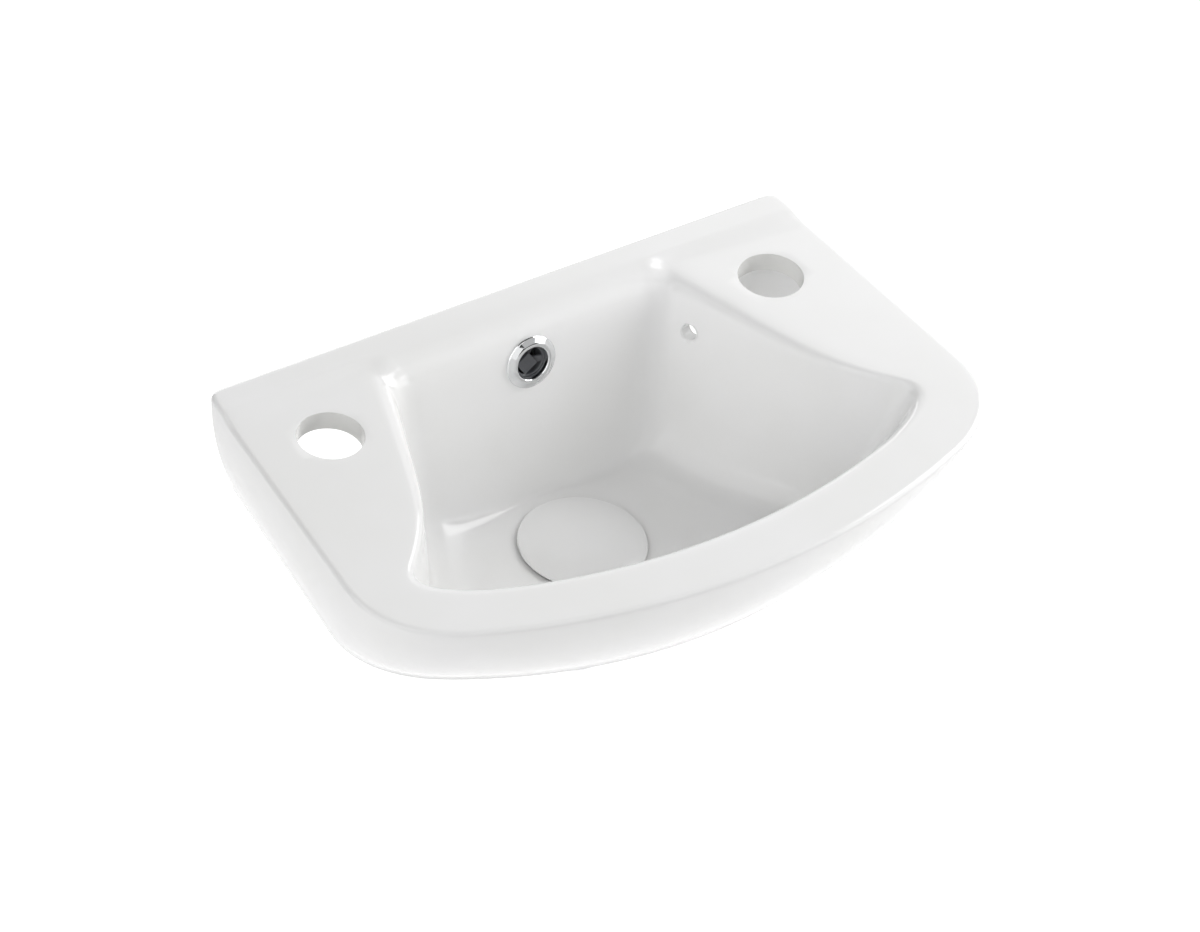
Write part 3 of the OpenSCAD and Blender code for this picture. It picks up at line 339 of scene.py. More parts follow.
tools += [
    piece("chain_hole", turned(hole(CHAIN_R, WALL_T, CHAIN_LIP),
                               (chain_x, CHAIN_Y, BOLT_DROP - CHAIN_H), -chain_out, 48)),
    piece("overflow_hole", turned(hole(OVERFLOW_R, WALL_T, OVERFLOW_LIP), overflow_at, overflow_out, 64)),
    piece("waste_hole", turned([
        [0, CUT_PAST], [SEAT_R + SEAT_EDGE, CUT_PAST], [SEAT_R + SEAT_EDGE, SEAT_EDGE / 10],
        [SEAT_R + SEAT_EDGE * 0.3, -SEAT_EDGE * 0.3], [SEAT_R, -SEAT_EDGE], [SEAT_R, -SEAT_H + SEAT_EDGE],
        [SEAT_R - SEAT_EDGE, -SEAT_H], [WASTE_HOLE_R + SEAT_EDGE, -SEAT_H],
        [WASTE_HOLE_R, -SEAT_H - SEAT_EDGE], [WASTE_HOLE_R, -BOSS_H + SEAT_EDGE],
        [WASTE_HOLE_R + SEAT_EDGE, -BOSS_H],
        [WASTE_HOLE_R + SEAT_EDGE, -BOSS_H - CUT_PAST], [0, -BOSS_H - CUT_PAST]], waste_at, around=128))]


def extruded(name, outline, low, high, bevel, at=(0, 0, 0), axes=((1, 0, 0), (0, 1, 0), (0, 0, 1))):
    """Solid with an outline (u, v) and a length from low to high along w: each corner is at + u U + v V +
    w W, with U, V and W the axes. A bevel rounds its edges."""
    outline = np.asarray(outline, float)
    k = len(outline)
    ends = np.concatenate([np.column_stack([outline, np.full(k, w)]) for w in (low, high)])
    i = np.arange(k)
    sides = np.stack([i, (i + 1) % k, (i + 1) % k + k, i + k], 1).tolist()
    mesh = bpy.data.meshes.new(name)
    mesh.from_pydata(((np.asarray(at) + ends @ np.asarray(axes)) * MM).tolist(), [],
                     sides + [i[::-1].tolist(), (i + k).tolist()])
    thing = bpy.data.objects.new(name, mesh)
    bpy.context.scene.collection.objects.link(thing)
    soft = thing.modifiers.new("soft", "BEVEL")
    soft.width, soft.segments, soft.limit_method, soft.angle_limit = bevel * MM, 4, "ANGLE", math.radians(20)
    done = bpy.data.meshes.new_from_object(thing.evaluated_get(bpy.context.evaluated_depsgraph_get()))
    thing.modifiers.clear()
    thing.data = done
    work = bmesh.new()
    work.from_mesh(done)
    bmesh.ops.recalc_face_normals(work, faces=work.faces)
    work.to_mesh(done)
    work.free()
    done.shade_smooth()
    return thing


def back_y(depth, behind):
    """Y of the back of the bowl at a depth below the ledge, a distance behind its face."""
    return behind - mix(BOWL_BACK_D, FLOOR_BACK_D, depth / BACK_H)


# Overflow passage behind and below the bowl, and the ceramic that was cast round it
PASSAGE_W, PASSAGE_T, PASSAGE_EDGE, CASING_EDGE = 30, 9, 1.5, 4
# How far the passage cuts its two lower corners, breaks into the waste hole, and is cased past it, how high
# above the bowl floor the casing leaves the bowl, and how far it keeps in front of the wall face
INNER_CUT, OUTER_CUT, PASSAGE_BITE, CASING_PAST, CASING_UP, SUNK = 3, 6, 3, 2, 12, 0.02
HALF_WALL = WALL_T / 2
BACK_H = floor_level(np.array([[0, -FLOOR_BACK_D]]), 0)[0]
BOWL_LOW = FLOOR_H + WALL_T
PASSAGE_LOW = BOWL_LOW + PASSAGE_T
passage_front = WASTE[1] + WASTE_HOLE_R - PASSAGE_BITE
casing_front = WASTE[1] + WASTE_HOLE_R + CASING_PAST
across = dict(at=raised, axes=((0, 1, 0), (0, 0, 1), (1, 0, 0)))
passage = extruded("passage", [
    [-WALL_T, -DECK_T - HALF_WALL], [back_y(DECK_T + HALF_WALL, WALL_T), -DECK_T - HALF_WALL],
    [back_y(BACK_H, WALL_T), -BACK_H], [back_y(BOWL_LOW, WALL_T - INNER_CUT), -BOWL_LOW],
    [passage_front, -BOWL_LOW], [passage_front, -PASSAGE_LOW],
    [back_y(PASSAGE_LOW, WALL_T + PASSAGE_T - OUTER_CUT), -PASSAGE_LOW],
    [back_y(BACK_H, WALL_T + PASSAGE_T), -BACK_H], [-WALL_T, -FLANGE_H + HALF_WALL]],
    -PASSAGE_W / 2, PASSAGE_W / 2, PASSAGE_EDGE, **across)
casing = extruded("casing", [
    [-SUNK, -DECK_T], [back_y(DECK_T, HALF_WALL), -DECK_T],
    [back_y(BACK_H - CASING_UP, HALF_WALL), -BACK_H + CASING_UP],
    [back_y(BACK_H, HALF_WALL), -FLOOR_H - HALF_WALL],
    [casing_front, -FLOOR_H - HALF_WALL], [casing_front, -PASSAGE_LOW - WALL_T],
    [back_y(PASSAGE_LOW, WALL_T + PASSAGE_T), -PASSAGE_LOW - WALL_T],
    [back_y(BACK_H, WALL_T * 2 + PASSAGE_T), -BACK_H], [-SUNK, -FLANGE_H]],
    -PASSAGE_W / 2 - WALL_T, PASSAGE_W / 2 + WALL_T, CASING_EDGE, **across)
carve(basin, [casing], "UNION")
carve(basin, [passage] + tools, "DIFFERENCE")
basin.data.shade_smooth()


def colour(hex_value):
    """An sRGB hex colour as linear red, green, blue and alpha."""
    c = np.array([int(hex_value[i:i + 2], 16) for i in (0, 2, 4)]) / 255
    return (*np.where(c <= 0.04045, c / 12.92, ((c + 0.055) / 1.055) ** 2.4), 1.0)


def add(tree, kind, inputs, **settings):
    """Adds a shader node, gives it its settings, and fills its inputs: a socket is linked, a value is set."""
    new = tree.nodes.new("ShaderNode" + kind)
    for key, value in settings.items():
        setattr(new, key, value)
    for key, value in inputs.items():
        if isinstance(value, bpy.types.NodeSocket):
            tree.links.new(value, new.inputs[key])
        else:
            new.inputs[key].default_value = value
    return new


def material(name):
    """An empty node material, its tree, and its surface input."""
    new = bpy.data.materials.new(name)
    new.use_nodes = True
    tree = new.node_tree
    tree.nodes.clear()
    output = tree.nodes.new("ShaderNodeOutputMaterial")
    return new, tree, output.inputs["Surface"]


def dress(thing, *finishes):
    """Gives an object its materials in order."""
    thing.data.materials.clear()
    for finish in finishes:
        thing.data.materials.append(finish)


# Vitreous china under a clear glossy glaze. The glaze lies in slow waves about 14 mm long, is a touch
# cooler where it is thicker, and the eye sees it as soft bends in each reflection.
glaze, tree, surface = material("glazed_vitreous_china")
place = add(tree, "TexCoord", {}).outputs["Object"]
tone = add(tree, "TexNoise", {"Vector": place, "Scale": 1 / 0.060, "Detail": 2.0})
tint = add(tree, "ValToRGB", {"Fac": tone.outputs["Fac"]})
tint.color_ramp.elements[0].position, tint.color_ramp.elements[0].color = 0.3, colour("EFEFEE")
tint.color_ramp.elements[1].position, tint.color_ramp.elements[1].color = 0.7, colour("F2F2F2")
wave = add(tree, "TexNoise", {"Vector": place, "Scale": 1 / 0.014, "Detail": 1.0, "Roughness": 0.4})
ripple = add(tree, "Bump", {"Height": wave.outputs["Fac"], "Strength": 1.0, "Distance": 0.00003})
# The tap holes are punched and sponged before the glaze. Their walls get a greyer tone: painted shade where
# the deck shades the inside of each hole
split = add(tree, "SeparateXYZ", {"Vector": place})
side = add(tree, "Math", {0: split.outputs["X"]}, operation="ABSOLUTE")
from_tap = add(tree, "CombineXYZ", {"X": side.outputs["Value"], "Y": split.outputs["Y"]})
spread = add(tree, "VectorMath", {0: from_tap.outputs["Vector"], 1: (TAP_X * MM, TAP_Y * MM, 0)},
             operation="DISTANCE")
hole_shade_mask = add(tree, "MapRange", {"Value": spread.outputs["Value"],
                                 "From Min": (TAP_R + 0.35) * MM, "From Max": (TAP_R + 0.1) * MM})
# Painted shade: the greyer tone is mixed into the glaze colour on the walls of the tap holes
hole_shade_tint = add(tree, "Mix", {0: hole_shade_mask.outputs["Result"], 6: tint.outputs["Color"], 7: colour("D6D6D4")},
           data_type="RGBA")
china = add(tree, "BsdfPrincipled", {
    "Base Color": hole_shade_tint.outputs[2], "Roughness": 0.12, "IOR": 1.52, "Normal": ripple.outputs["Normal"]})
# Bare fired clay on the wall face, where the piece stood clear of the glaze: matte, warmer, grainy
grain = add(tree, "TexNoise", {"Vector": place, "Scale": 1 / 0.0012, "Detail": 3.0})
grain_tint = add(tree, "ValToRGB", {"Fac": grain.outputs["Fac"]})
grain_tint.color_ramp.elements[0].color = colour("D9D3C6")
grain_tint.color_ramp.elements[1].color = colour("E9E5DB")
grit = add(tree, "Bump", {"Height": grain.outputs["Fac"], "Strength": 0.6, "Distance": 0.0002})
clay = add(tree, "BsdfPrincipled", {
    "Base Color": grain_tint.outputs["Color"], "Roughness": 0.8, "Normal": grit.outputs["Normal"]})
edge = add(tree, "TexNoise", {"Vector": place, "Scale": 1 / 0.008, "Detail": 2.0})
ragged = add(tree, "Math", {0: edge.outputs["Fac"], 1: 0.0014}, operation="MULTIPLY")
reach = add(tree, "Math", {0: split.outputs["Y"], 1: ragged.outputs["Value"]}, operation="ADD")
bare = add(tree, "MapRange", {"Value": reach.outputs["Value"], "From Min": 0.0001, "From Max": 0.0004})
both = add(tree, "MixShader", {0: bare.outputs["Result"], 1: china.outputs["BSDF"], 2: clay.outputs["BSDF"]})
tree.links.new(both.outputs["Shader"], surface)
dress(basin, glaze)
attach(basin, "fixed")
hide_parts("basin")


# Plug cap: a thin dome of the same glazed china, pressed and fired, with a small round edge.
# It is glued on the plastic carrier of the push waste and hides the flange.
CAP_R, CAP_GAP, CAP_EDGE_T, CAP_RISE, CAP_TURN = 34.5, 1, 2, 3.6, 1.2
# Pocket under the cap for the carrier
POCKET_R, POCKET_H = 25.8, 2


def eased(corners, cuts, n=8):
    """Closed profile with each corner turned into the curve (1 - t)^2 a + 2 t (1 - t) c + t^2 b, where a
    and b lie a cut along the two sides from corner c."""
    c, cut = np.asarray(corners, float), np.asarray(cuts, float)[:, None]
    before, after = np.roll(c, 1, 0) - c, np.roll(c, -1, 0) - c
    a = c + before / np.linalg.norm(before, axis=1, keepdims=True) * cut
    b = c + after / np.linalg.norm(after, axis=1, keepdims=True) * cut
    t = np.linspace(0, 1, n)[None, :, None]
    return (a[:, None] * (1 - t) ** 2 + c[:, None] * 2 * t * (1 - t) + b[:, None] * t ** 2).reshape(-1, 2)


dome_w = CAP_R - CAP_TURN
dome_r = (dome_w ** 2 + CAP_RISE ** 2) / 2 / CAP_RISE
dome_x = np.linspace(dome_w, 0, 28)
top_z = CAP_GAP + CAP_EDGE_T
dome = np.column_stack([dome_x, top_z + CAP_RISE - dome_r + np.sqrt(dome_r ** 2 - dome_x ** 2)])
under = eased([[0, CAP_GAP + POCKET_H], [POCKET_R, CAP_GAP + POCKET_H], [POCKET_R, CAP_GAP],
               [CAP_R, CAP_GAP], [CAP_R, top_z], dome[0]], [0, 0.3, 0.3, 0.8, 1.1, 0])
cap = piece("plug_dome", turned(np.concatenate([under, dome[1:]]), waste_at, around=160))
dress(cap, glaze)
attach(cap, "plug")
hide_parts("plug_cap")


# Overflow ring: pressed brass with a bright chrome plate. It slopes up to a round bead at the opening.
# Its sleeve goes into the hole at the back of the bowl, and the clip behind holds it there.
RING_R, RING_BEAD_W, RING_BORE_R, RING_T, SLEEVE_L, SLEEVE_GAP = 15, 2, 9.3, 2.8, 7, 0.3
BEAD_T = RING_T * 1.02
slope_w = RING_R - RING_BORE_R - RING_BEAD_W
ring_profile = eased(
    [[RING_BORE_R, -SLEEVE_L], [OVERFLOW_R - SLEEVE_GAP, -SLEEVE_L], [OVERFLOW_R - SLEEVE_GAP, 0],
     [RING_R, 0], [RING_R, RING_T * 0.4], [RING_R - slope_w * 0.55, RING_T * 0.72],
     [RING_R - slope_w, BEAD_T], [RING_BORE_R, BEAD_T], [RING_BORE_R, RING_T * 0.3]],
    [0.2, 0.2, 0.1, 0.15, 0.7, 0.9, 0.95, 0.95, 0.4], 10)
ring = piece("overflow_rim", turned(ring_profile, overflow_at, overflow_out, 128), closed=True)

# Chrome plate over polished brass: a mirror, with faint polishing marks about 0.6 mm apart
chrome, tree, surface = material("polished_chrome_plate")
place = add(tree, "TexCoord", {}).outputs["Object"]
marks = add(tree, "TexNoise", {"Vector": place, "Scale": 1 / 0.0006, "Detail": 2.0})
rough = add(tree, "MapRange", {"Value": marks.outputs["Fac"], "To Min": 0.03, "To Max": 0.09})
plate = add(tree, "BsdfPrincipled", {
    "Base Color": colour("F1F2F3"), "Metallic": 1.0, "Roughness": rough.outputs["Result"]})
tree.links.new(plate.outputs["BSDF"], surface)
dress(ring, chrome)
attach(ring, "fixed")
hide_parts("overflow_ring")


# Overflow clip: one dark ABS moulding pushed in from behind: a tube in the ring, a square block on a thin
# cross, a sloping tongue at its right, and two hooks that hold behind the ceramic.
CLIP_WALL, CLIP_RECESS, ARM_W, ARM_T = 1.3, 1.2, 2.4, 1.6
FACE_W, FACE_LEFT, FACE_DOWN, FACE_TURN = 9, 1.4, 1.5, -12
TONGUE_W, TONGUE_T, TONGUE_FALL, TONGUE_DROP = 3.6, 1.6, 2.2, 0.1
HOOK_W, HOOK_T, HOOK_REACH, RUNNING_GAP, EASY_GAP = 5, 2, 1.2, 0.1, 0.3
# Faces of parts that join are a few of these steps apart, so that no two coincide
STEP = 0.01


def moulded(name, hex_a, hex_b, roughness, grain_mm, bump_mm, **more):
    """Plastic, foam or rubber: two close tones in noise of a grain size, with a bump of the same grain."""
    new, tree, surface = material(name)
    place = add(tree, "TexCoord", {}).outputs["Object"]
    noise = add(tree, "TexNoise", {"Vector": place, "Scale": 1000 / grain_mm, "Detail": 3.0})
    ramp = add(tree, "ValToRGB", {"Fac": noise.outputs["Fac"]})
    ramp.color_ramp.elements[0].position, ramp.color_ramp.elements[0].color = 0.35, colour(hex_a)
    ramp.color_ramp.elements[1].position, ramp.color_ramp.elements[1].color = 0.65, colour(hex_b)
    bump = add(tree, "Bump", {"Height": noise.outputs["Fac"], "Strength": 0.7, "Distance": bump_mm * MM})
    skin = add(tree, "BsdfPrincipled", {"Base Color": ramp.outputs["Color"], "Roughness": roughness,
                                        "Normal": bump.outputs["Normal"], **more})
    tree.links.new(skin.outputs["BSDF"], surface)
    return new


def turned_axes(degrees):
    """Axes of a piece turned about Z."""
    a = math.radians(degrees)
    return np.array([[math.cos(a), math.sin(a), 0], [-math.sin(a), math.cos(a), 0], [0, 0, 1]])


def rectangle(x0, x1, y0, y1):
    """Corners of a rectangle."""
    return [[x0, y0], [x1, y0], [x1, y1], [x0, y1]]


def crisp(thing):
    """Smooth shading that stops at edges sharper than 35 degrees."""
    thing.data.shade_smooth()
    thing.data.set_sharp_from_angle(angle=math.radians(35))


tube_r = RING_BORE_R - RUNNING_GAP
tube_in = tube_r - CLIP_WALL
overflow_axes = np.array([[1, 0, 0], [0, math.sin(BACK_LEAN), math.cos(BACK_LEAN)], overflow_out])
tube = eased(rectangle(tube_in, tube_r, -SLEEVE_L, -CLIP_RECESS), [0.2] * 4, 5)
clip = piece("overflow_grip", turned(tube, overflow_at, overflow_out, 96), closed=True)
face_axes = turned_axes(FACE_TURN + 45) @ overflow_axes
face_at = overflow_at + np.array([-FACE_LEFT, -FACE_DOWN, 0]) @ overflow_axes
face = rectangle(-FACE_W / 2, FACE_W / 2, -FACE_W / 2, FACE_W / 2)
parts = [extruded("block", face, -SLEEVE_L, -CLIP_RECESS, 0.3, face_at, face_axes)]
arm_l = tube_in + CLIP_WALL / 2
parts += [extruded("arm", rectangle(-arm_l, arm_l, -ARM_W / 2, ARM_W / 2), -SLEEVE_L + STEP * 3,
                   -SLEEVE_L + ARM_T, 0.2, overflow_at, turned_axes(a) @ overflow_axes) for a in (45, 135)]
tongue_out, tongue_in = tube_r - CLIP_WALL / 2, FACE_W / 2 - FACE_LEFT
parts += [extruded("tongue", [
    [tongue_in, -CLIP_RECESS - TONGUE_FALL], [tongue_out, -CLIP_RECESS - TONGUE_DROP],
    [tongue_out, -CLIP_RECESS - TONGUE_T], [tongue_in, -CLIP_RECESS - TONGUE_FALL - TONGUE_T]],
    FACE_DOWN - TONGUE_W / 2, FACE_DOWN + TONGUE_W / 2, 0.25, overflow_at,
    np.array([[1, 0, 0], [0, 0, 1], [0, -1, 0]]) @ overflow_axes)]
hook_low, hook_y = -WALL_T - EASY_GAP - HOOK_T, HOOK_W / 2
leg = rectangle(tube_in + STEP * 5, tube_r - RUNNING_GAP, -hook_y, hook_y)
hook = rectangle(tube_in + STEP * 2, OVERFLOW_R + HOOK_REACH, -hook_y - STEP * 3, hook_y + STEP * 3)
for turn in (0, 180):
    hook_axes = turned_axes(turn) @ overflow_axes
    parts += [extruded("leg", leg, hook_low, -SLEEVE_L + 0.5, 0.1, overflow_at, hook_axes),
              extruded("hook", hook, hook_low - STEP * 2, hook_low + HOOK_T, 0.3, overflow_at, hook_axes)]
carve(clip, parts, "UNION")
crisp(clip)
# ABS of the clip: dark grey, satin, with the faint grain of its mould
dress(clip, moulded("dark_grey_abs", "4C4E51", "55565A", 0.32, 0.5, 0.01))
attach(clip, "fixed")
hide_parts("overflow_clip")


# Waste: turned brass with the same chrome plate: a flange on a seal, a threaded tail with four slots for
# the water of the overflow, and a crossbar that holds the push cartridge.
FLANGE_R, FLANGE_T, FLANGE_SINK, FLANGE_EDGE, FUNNEL_W, FUNNEL_H = 31.5, 2.5, 0.5, 0.8, 4.2, 3
TAIL_R, TAIL_L, TAIL_BORE_R, TAIL_END_H, TAIL_END_BORE_H = 20.95, 70, 18.3, 1.2, 3
SLOT_W, SLOT_H, SLOT_DROP, SLOT_ROUND = 11, 14, 8, 1.2
# Pipe thread of 11 turns to the inch, and how far below the bowl floor it ends
THREAD_PITCH, THREAD_DEPTH, THREAD_DROP = 2.309, 1.48, 24
HUB_R, STEM_HOLE_R, CROSSBAR_DROP, CROSSBAR_H, CROSSBAR_W = 8.5, 4, 47, 6, 5


def threaded(radius, low, high, pitch, depth, at, around=96, up_turn=10):
    """Rings of an upright outside thread with round crests and roots, from low to high: at angle a and
    height h the radius is R - depth (1 - cos(2 pi h / pitch - a)) / 2. The depth fades in over a pitch at
    each end."""
    h = np.linspace(low, high, int((high - low) / pitch * up_turn))
    rings = turned(np.column_stack([np.full(len(h), radius), h]), at, around=around)
    middle = (np.asarray(at) + h[:, None] * [0, 0, 1])[:, None]
    a = np.linspace(0, 2 * math.pi, around, endpoint=False)
    fade = (ease((h - low) / pitch) * ease((high - h) / pitch))[:, None]
    cut = depth * fade * (1 - np.cos(2 * math.pi * h[:, None] / pitch - a)) / 2
    return middle + (rings - middle) * (1 - cut / radius)[..., None]


tail_low, flange_low = -FLANGE_SINK - FLANGE_T - TAIL_L, -FLANGE_SINK - FLANGE_T
low_end = turned(eased([[TAIL_BORE_R, tail_low + TAIL_END_BORE_H], [TAIL_BORE_R, tail_low],
                        [TAIL_R, tail_low], [TAIL_R, tail_low + TAIL_END_H]], [0, 0.4, 0.9, 0], 5), waste_at)
thread = threaded(TAIL_R, tail_low + TAIL_END_H + 0.1, -THREAD_DROP, THREAD_PITCH, THREAD_DEPTH, waste_at)
high_end = turned(eased([[TAIL_R, -THREAD_DROP + 0.2], [TAIL_R, flange_low], [FLANGE_R, flange_low],
                         [FLANGE_R, -FLANGE_SINK], [TAIL_BORE_R + FUNNEL_W, -FLANGE_SINK],
                         [TAIL_BORE_R, -FLANGE_SINK - FUNNEL_H], [TAIL_BORE_R, -THREAD_DROP]],
                        [0, 0.6, 0.5, FLANGE_EDGE, 0.8, 0.8, 0], 5), waste_at)
waste = piece("waste_tail", np.concatenate([low_end, thread, high_end]), closed=True)
# The crossbar runs a quarter of the wall into the tail
reach = mix(TAIL_BORE_R, TAIL_R, 0.25)
crossbar_low, crossbar_high = -CROSSBAR_DROP, -CROSSBAR_DROP + CROSSBAR_H
hub = piece("hub", turned(eased([[0, crossbar_low], [HUB_R, crossbar_low], [HUB_R, crossbar_high],
                                 [0, crossbar_high]], [0, 0.4, 0.4, 0], 5), waste_at))
arm = rectangle(-reach, reach, -CROSSBAR_W / 2, CROSSBAR_W / 2)
arms = [extruded("arm", arm, crossbar_low + STEP * 2, crossbar_high - STEP * 2, 0.6, waste_at, turned_axes(a))
        for a in (45, 135)]
carve(waste, [hub] + arms, "UNION")
slot_end = TAIL_R + 2
opening = rectangle(-slot_end, slot_end, -SLOT_W / 2, SLOT_W / 2)
cuts = [extruded("slot", opening, -SLOT_DROP - SLOT_H, -SLOT_DROP, SLOT_ROUND, waste_at, turned_axes(a))
        for a in (0, 90)]
cuts += [piece("stem_hole", turned([
    [0, crossbar_high + 1], [STEM_HOLE_R, crossbar_high + 1], [STEM_HOLE_R, crossbar_low - 1],
    [0, crossbar_low - 1]], waste_at, around=48))]
carve(waste, cuts, "DIFFERENCE")
crisp(waste)
dress(waste, chrome)
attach(waste, "fixed")
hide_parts("waste_body")


# Under the boss: a black rubber seal, a white slip washer, and a brass back nut, turned from hexagon bar
# with its corners cut back. The nut pulls the waste down on the basin.
TAIL_SEAL_R, TAIL_SEAL_T, TAIL_SEAL_EDGE, WASHER_R, WASHER_T, WASHER_EDGE = 33, 5.5, 0.9, 31, 2, 0.35
NUT_ACROSS, NUT_T, NUT_CUT, NUT_FLARE_H, LATHE_PAST, BORE_PAST = 52, 10, 0.6, 1, 1, 2
# EPDM rubber: black, with a dusty bloom
rubber = moulded("black_epdm_rubber", "151515", "1D1D1C", 0.7, 1.2, 0.03)
# Acetal: white, half gloss, slightly see-through in life
acetal = moulded("white_acetal", "E2E2DE", "E9E9E6", 0.3, 2.0, 0.005)

# Turned brass: yellow metal with fine rings left by the lathe tool, 0.25 mm apart
brass, tree, surface = material("turned_brass")
place = add(tree, "TexCoord", {}).outputs["Object"]
cuts = add(tree, "TexWave", {"Vector": place, "Scale": 1 / 0.0008, "Distortion": 0.4}, bands_direction="Z")
tone = add(tree, "TexNoise", {"Vector": place, "Scale": 1 / 0.006, "Detail": 2.0})
tint = add(tree, "ValToRGB", {"Fac": tone.outputs["Fac"]})
tint.color_ramp.elements[0].color, tint.color_ramp.elements[1].color = colour("C19A52"), colour("D9B46A")
marks = add(tree, "Bump", {"Height": cuts.outputs["Fac"], "Strength": 0.5, "Distance": 0.00002})
metal = add(tree, "BsdfPrincipled", {"Base Color": tint.outputs["Color"], "Metallic": 1.0,
                                     "Roughness": 0.28, "Normal": marks.outputs["Normal"]})
tree.links.new(metal.outputs["BSDF"], surface)

seal_low, washer_low = -BOSS_H - TAIL_SEAL_T, -BOSS_H - TAIL_SEAL_T - WASHER_T
for name, node_name, r, low, high, edge_cut, finish, slot in [
        ("boss_seal", "tail_seal", TAIL_SEAL_R, seal_low, -BOSS_H, TAIL_SEAL_EDGE, rubber, "black_rubber"),
        ("nut_washer", "slip_washer", WASHER_R, washer_low, seal_low, WASHER_EDGE, acetal, "white_plastic")]:
    band = eased(rectangle(TAIL_R + EASY_GAP, r, low, high), [edge_cut] * 4)
    flat_ring = piece(name, turned(band, waste_at), closed=True)
    dress(flat_ring, finish)
    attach(flat_ring, "fixed")
    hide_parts(node_name)

corner_a = np.radians(np.arange(0, 360, 60))
corner_r = NUT_ACROSS / 2 / math.cos(math.pi / 6)
nut_low, flat_r, lathe_r = washer_low - NUT_T, NUT_ACROSS / 2 - NUT_CUT, corner_r + LATHE_PAST
chamfer_h = (lathe_r - flat_r) * math.tan(math.pi / 6)
hexagon = corner_r * np.column_stack([np.cos(corner_a), np.sin(corner_a)])
nut = extruded("hexagon_nut", hexagon, nut_low, washer_low, 0.1, waste_at)
lathe = piece("lathe", turned([
    [0, nut_low], [flat_r, nut_low], [lathe_r, nut_low + chamfer_h], [lathe_r, washer_low - chamfer_h],
    [flat_r, washer_low], [0, washer_low]], waste_at))
carve(nut, [lathe], "INTERSECT")
nut_bore_r = TAIL_R + RUNNING_GAP
bore = piece("bore", turned([
    [0, nut_low - BORE_PAST], [TAIL_R + BORE_PAST, nut_low - BORE_PAST], [nut_bore_r, nut_low + NUT_FLARE_H],
    [nut_bore_r, washer_low + BORE_PAST], [0, washer_low + BORE_PAST]], waste_at))
carve(nut, [bore], "DIFFERENCE")
crisp(nut)
dress(nut, brass)
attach(nut, "fixed")
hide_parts("back_nut")


# Pieces that the solids already give: the seal of the flange, and the carrier, seal and cartridge of the
# plug. They keep their CAD shape, and each gets the finish of its own foam, plastic, rubber or metal here.
# Closed-cell polyethylene foam
foam = moulded("grey_closed_cell_foam", "B4B4B1", "C6C6C3", 0.85, 0.8, 0.06)
# Nylon: light grey, satin
nylon = moulded("grey_nylon", "8D8F91", "97999B", 0.45, 1.5, 0.01)

# Spring wire: drawn steel, with streaks along the draw that are too fine to tell apart
wire, tree, surface = material("drawn_spring_steel")
place = add(tree, "TexCoord", {}).outputs["Object"]
streaks = add(tree, "TexNoise", {"Vector": place, "Scale": 1 / 0.0004, "Detail": 2.0})
rough = add(tree, "MapRange", {"Value": streaks.outputs["Fac"], "To Min": 0.25, "To Max": 0.45})
metal = add(tree, "BsdfPrincipled", {"Base Color": colour("A9A9A8"), "Metallic": 1.0,
                                     "Roughness": rough.outputs["Result"]})
tree.links.new(metal.outputs["BSDF"], surface)

node_finish = {
    "flange_seal": foam, "plug_carrier": nylon, "plug_seal": rubber, "cartridge_housing": acetal,
    "cartridge_cap": nylon, "cartridge_plunger": chrome, "cartridge_rotor": nylon, "cartridge_spring": wire,
    "lock_nut": brass}
for node_name, finish in node_finish.items():
    dress(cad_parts[node_name], finish)


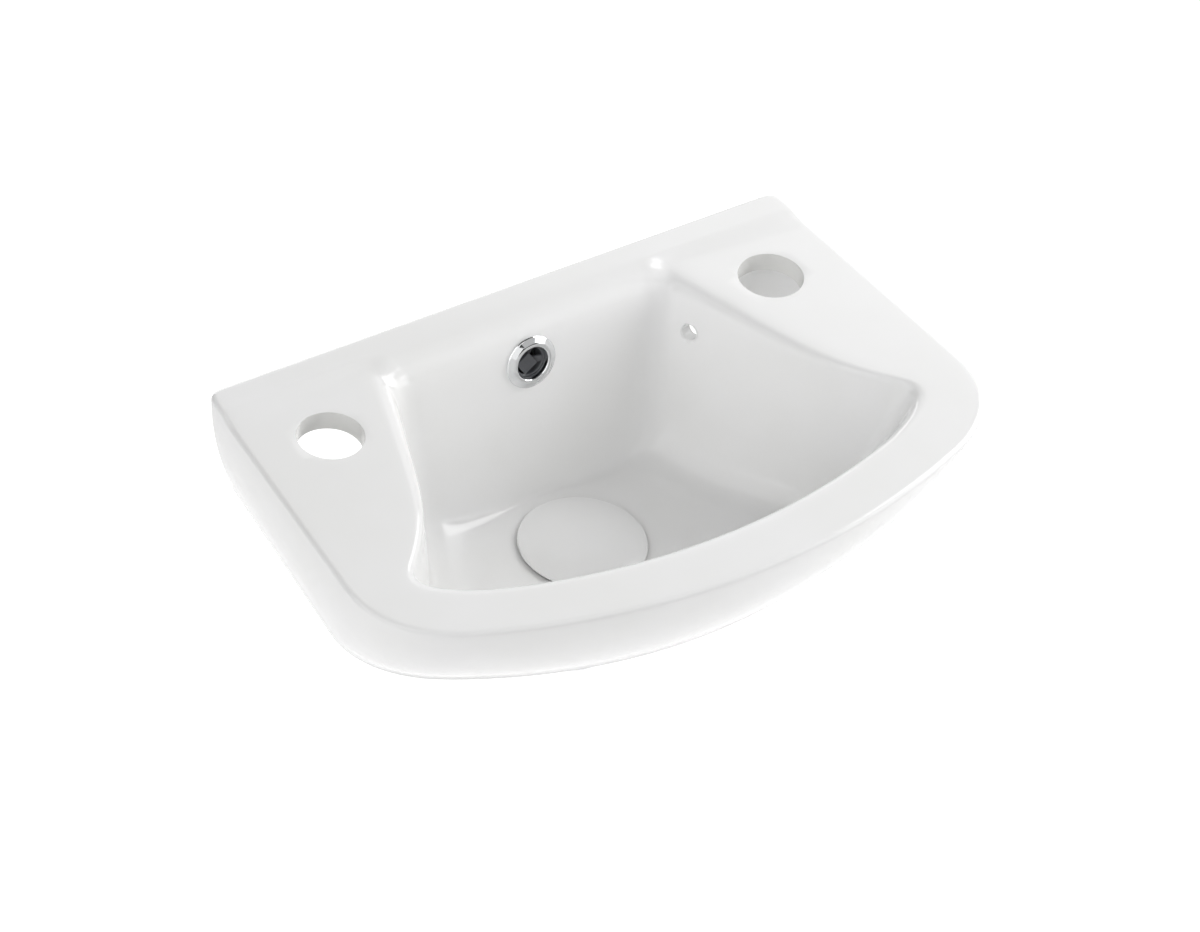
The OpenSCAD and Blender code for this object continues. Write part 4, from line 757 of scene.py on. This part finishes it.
# Floor and light: a plain pale floor well below the wall-hung basin, and soft white studio light.
# The floor is painted near white, so it burns out behind the basin as in the photograph.
FLOOR_DROP, FLOOR_R = 850, 9000
floor_profile = [[FLOOR_R, 0], [FLOOR_R / 3, 0], [FLOOR_R / 10, 0], [0, 0]]
studio_floor = piece("studio_floor", turned(floor_profile, (0, 0, -FLOOR_DROP), around=48))
paint, tree, surface = material("white_floor_paint")
place = add(tree, "TexCoord", {}).outputs["Object"]
patches = add(tree, "TexNoise", {"Vector": place, "Scale": 2.0, "Detail": 1.0})
tint = add(tree, "ValToRGB", {"Fac": patches.outputs["Fac"]})
tint.color_ramp.elements[0].color, tint.color_ramp.elements[1].color = colour("FAFAFA"), colour("FDFDFD")
coat = add(tree, "BsdfPrincipled", {"Base Color": tint.outputs["Color"], "Roughness": 0.9,
                                    "Emission Color": colour("FFFFFF"), "Emission Strength": 0.27})
tree.links.new(coat.outputs["BSDF"], surface)
dress(studio_floor, paint)

world = bpy.data.worlds.new("studio")
world.use_nodes = True
world.node_tree.nodes["Background"].inputs["Color"].default_value = colour("FFFFFF")
world.node_tree.nodes["Background"].inputs["Strength"].default_value = 0.05
bpy.context.scene.world = world


def softbox(name, at, aim, width, height, power):
    """A rectangular area light at one point in metres, facing another."""
    lamp_data = bpy.data.lights.new(name, "AREA")
    lamp_data.shape, lamp_data.size, lamp_data.size_y, lamp_data.energy = "RECTANGLE", width, height, power
    lamp = bpy.data.objects.new(name, lamp_data)
    bpy.context.scene.collection.objects.link(lamp)
    back = np.array(at, float) - np.array(aim, float)
    back /= np.linalg.norm(back)
    right = np.cross([0, 0, 1], back)
    right /= np.linalg.norm(right)
    frame_matrix = np.identity(4)
    frame_matrix[:3, 0], frame_matrix[:3, 1], frame_matrix[:3, 2] = right, np.cross(back, right), back
    frame_matrix[:3, 3] = at
    lamp.matrix_world = Matrix(frame_matrix.tolist())


STUDIO_MIDDLE, LAMP_AWAY = (0, -0.1, 0), 1.7
# Place of each softbox by its direction from the basin, seen as the camera's: azimuth, elevation, size in
# metres and watts. The small ones draw the shape, and the large ones are soft enough to leave no hard glints.
for name, azimuth, elevation, size, watts in [
        ("right", 90, 34, 1.2, 20.7), ("right_front_low", 60, 10, 1.2, 10.8), ("left_low", 270, 10, 1.2, 2.6),
        ("front_right", 30, 34, 1.2, 2.0), ("right_back", 150, 34, 1.2, 1.8), ("left", 270, 34, 2.0, 14.2),
        ("front_left", 330, 34, 2.0, 11.0), ("right_back_low", 150, 10, 2.0, 9.7)]:
    at = camera_axes(azimuth, elevation, 0)[2] * LAMP_AWAY + STUDIO_MIDDLE
    softbox("softbox_" + name, tuple(at), STUDIO_MIDDLE, size, size, watts)
# One more stands behind and lights the floor alone
softbox("softbox_floor", (0.8, 2.6, 0.2), (0.9, 1.2, -0.85), 1.2, 1.2, 10)
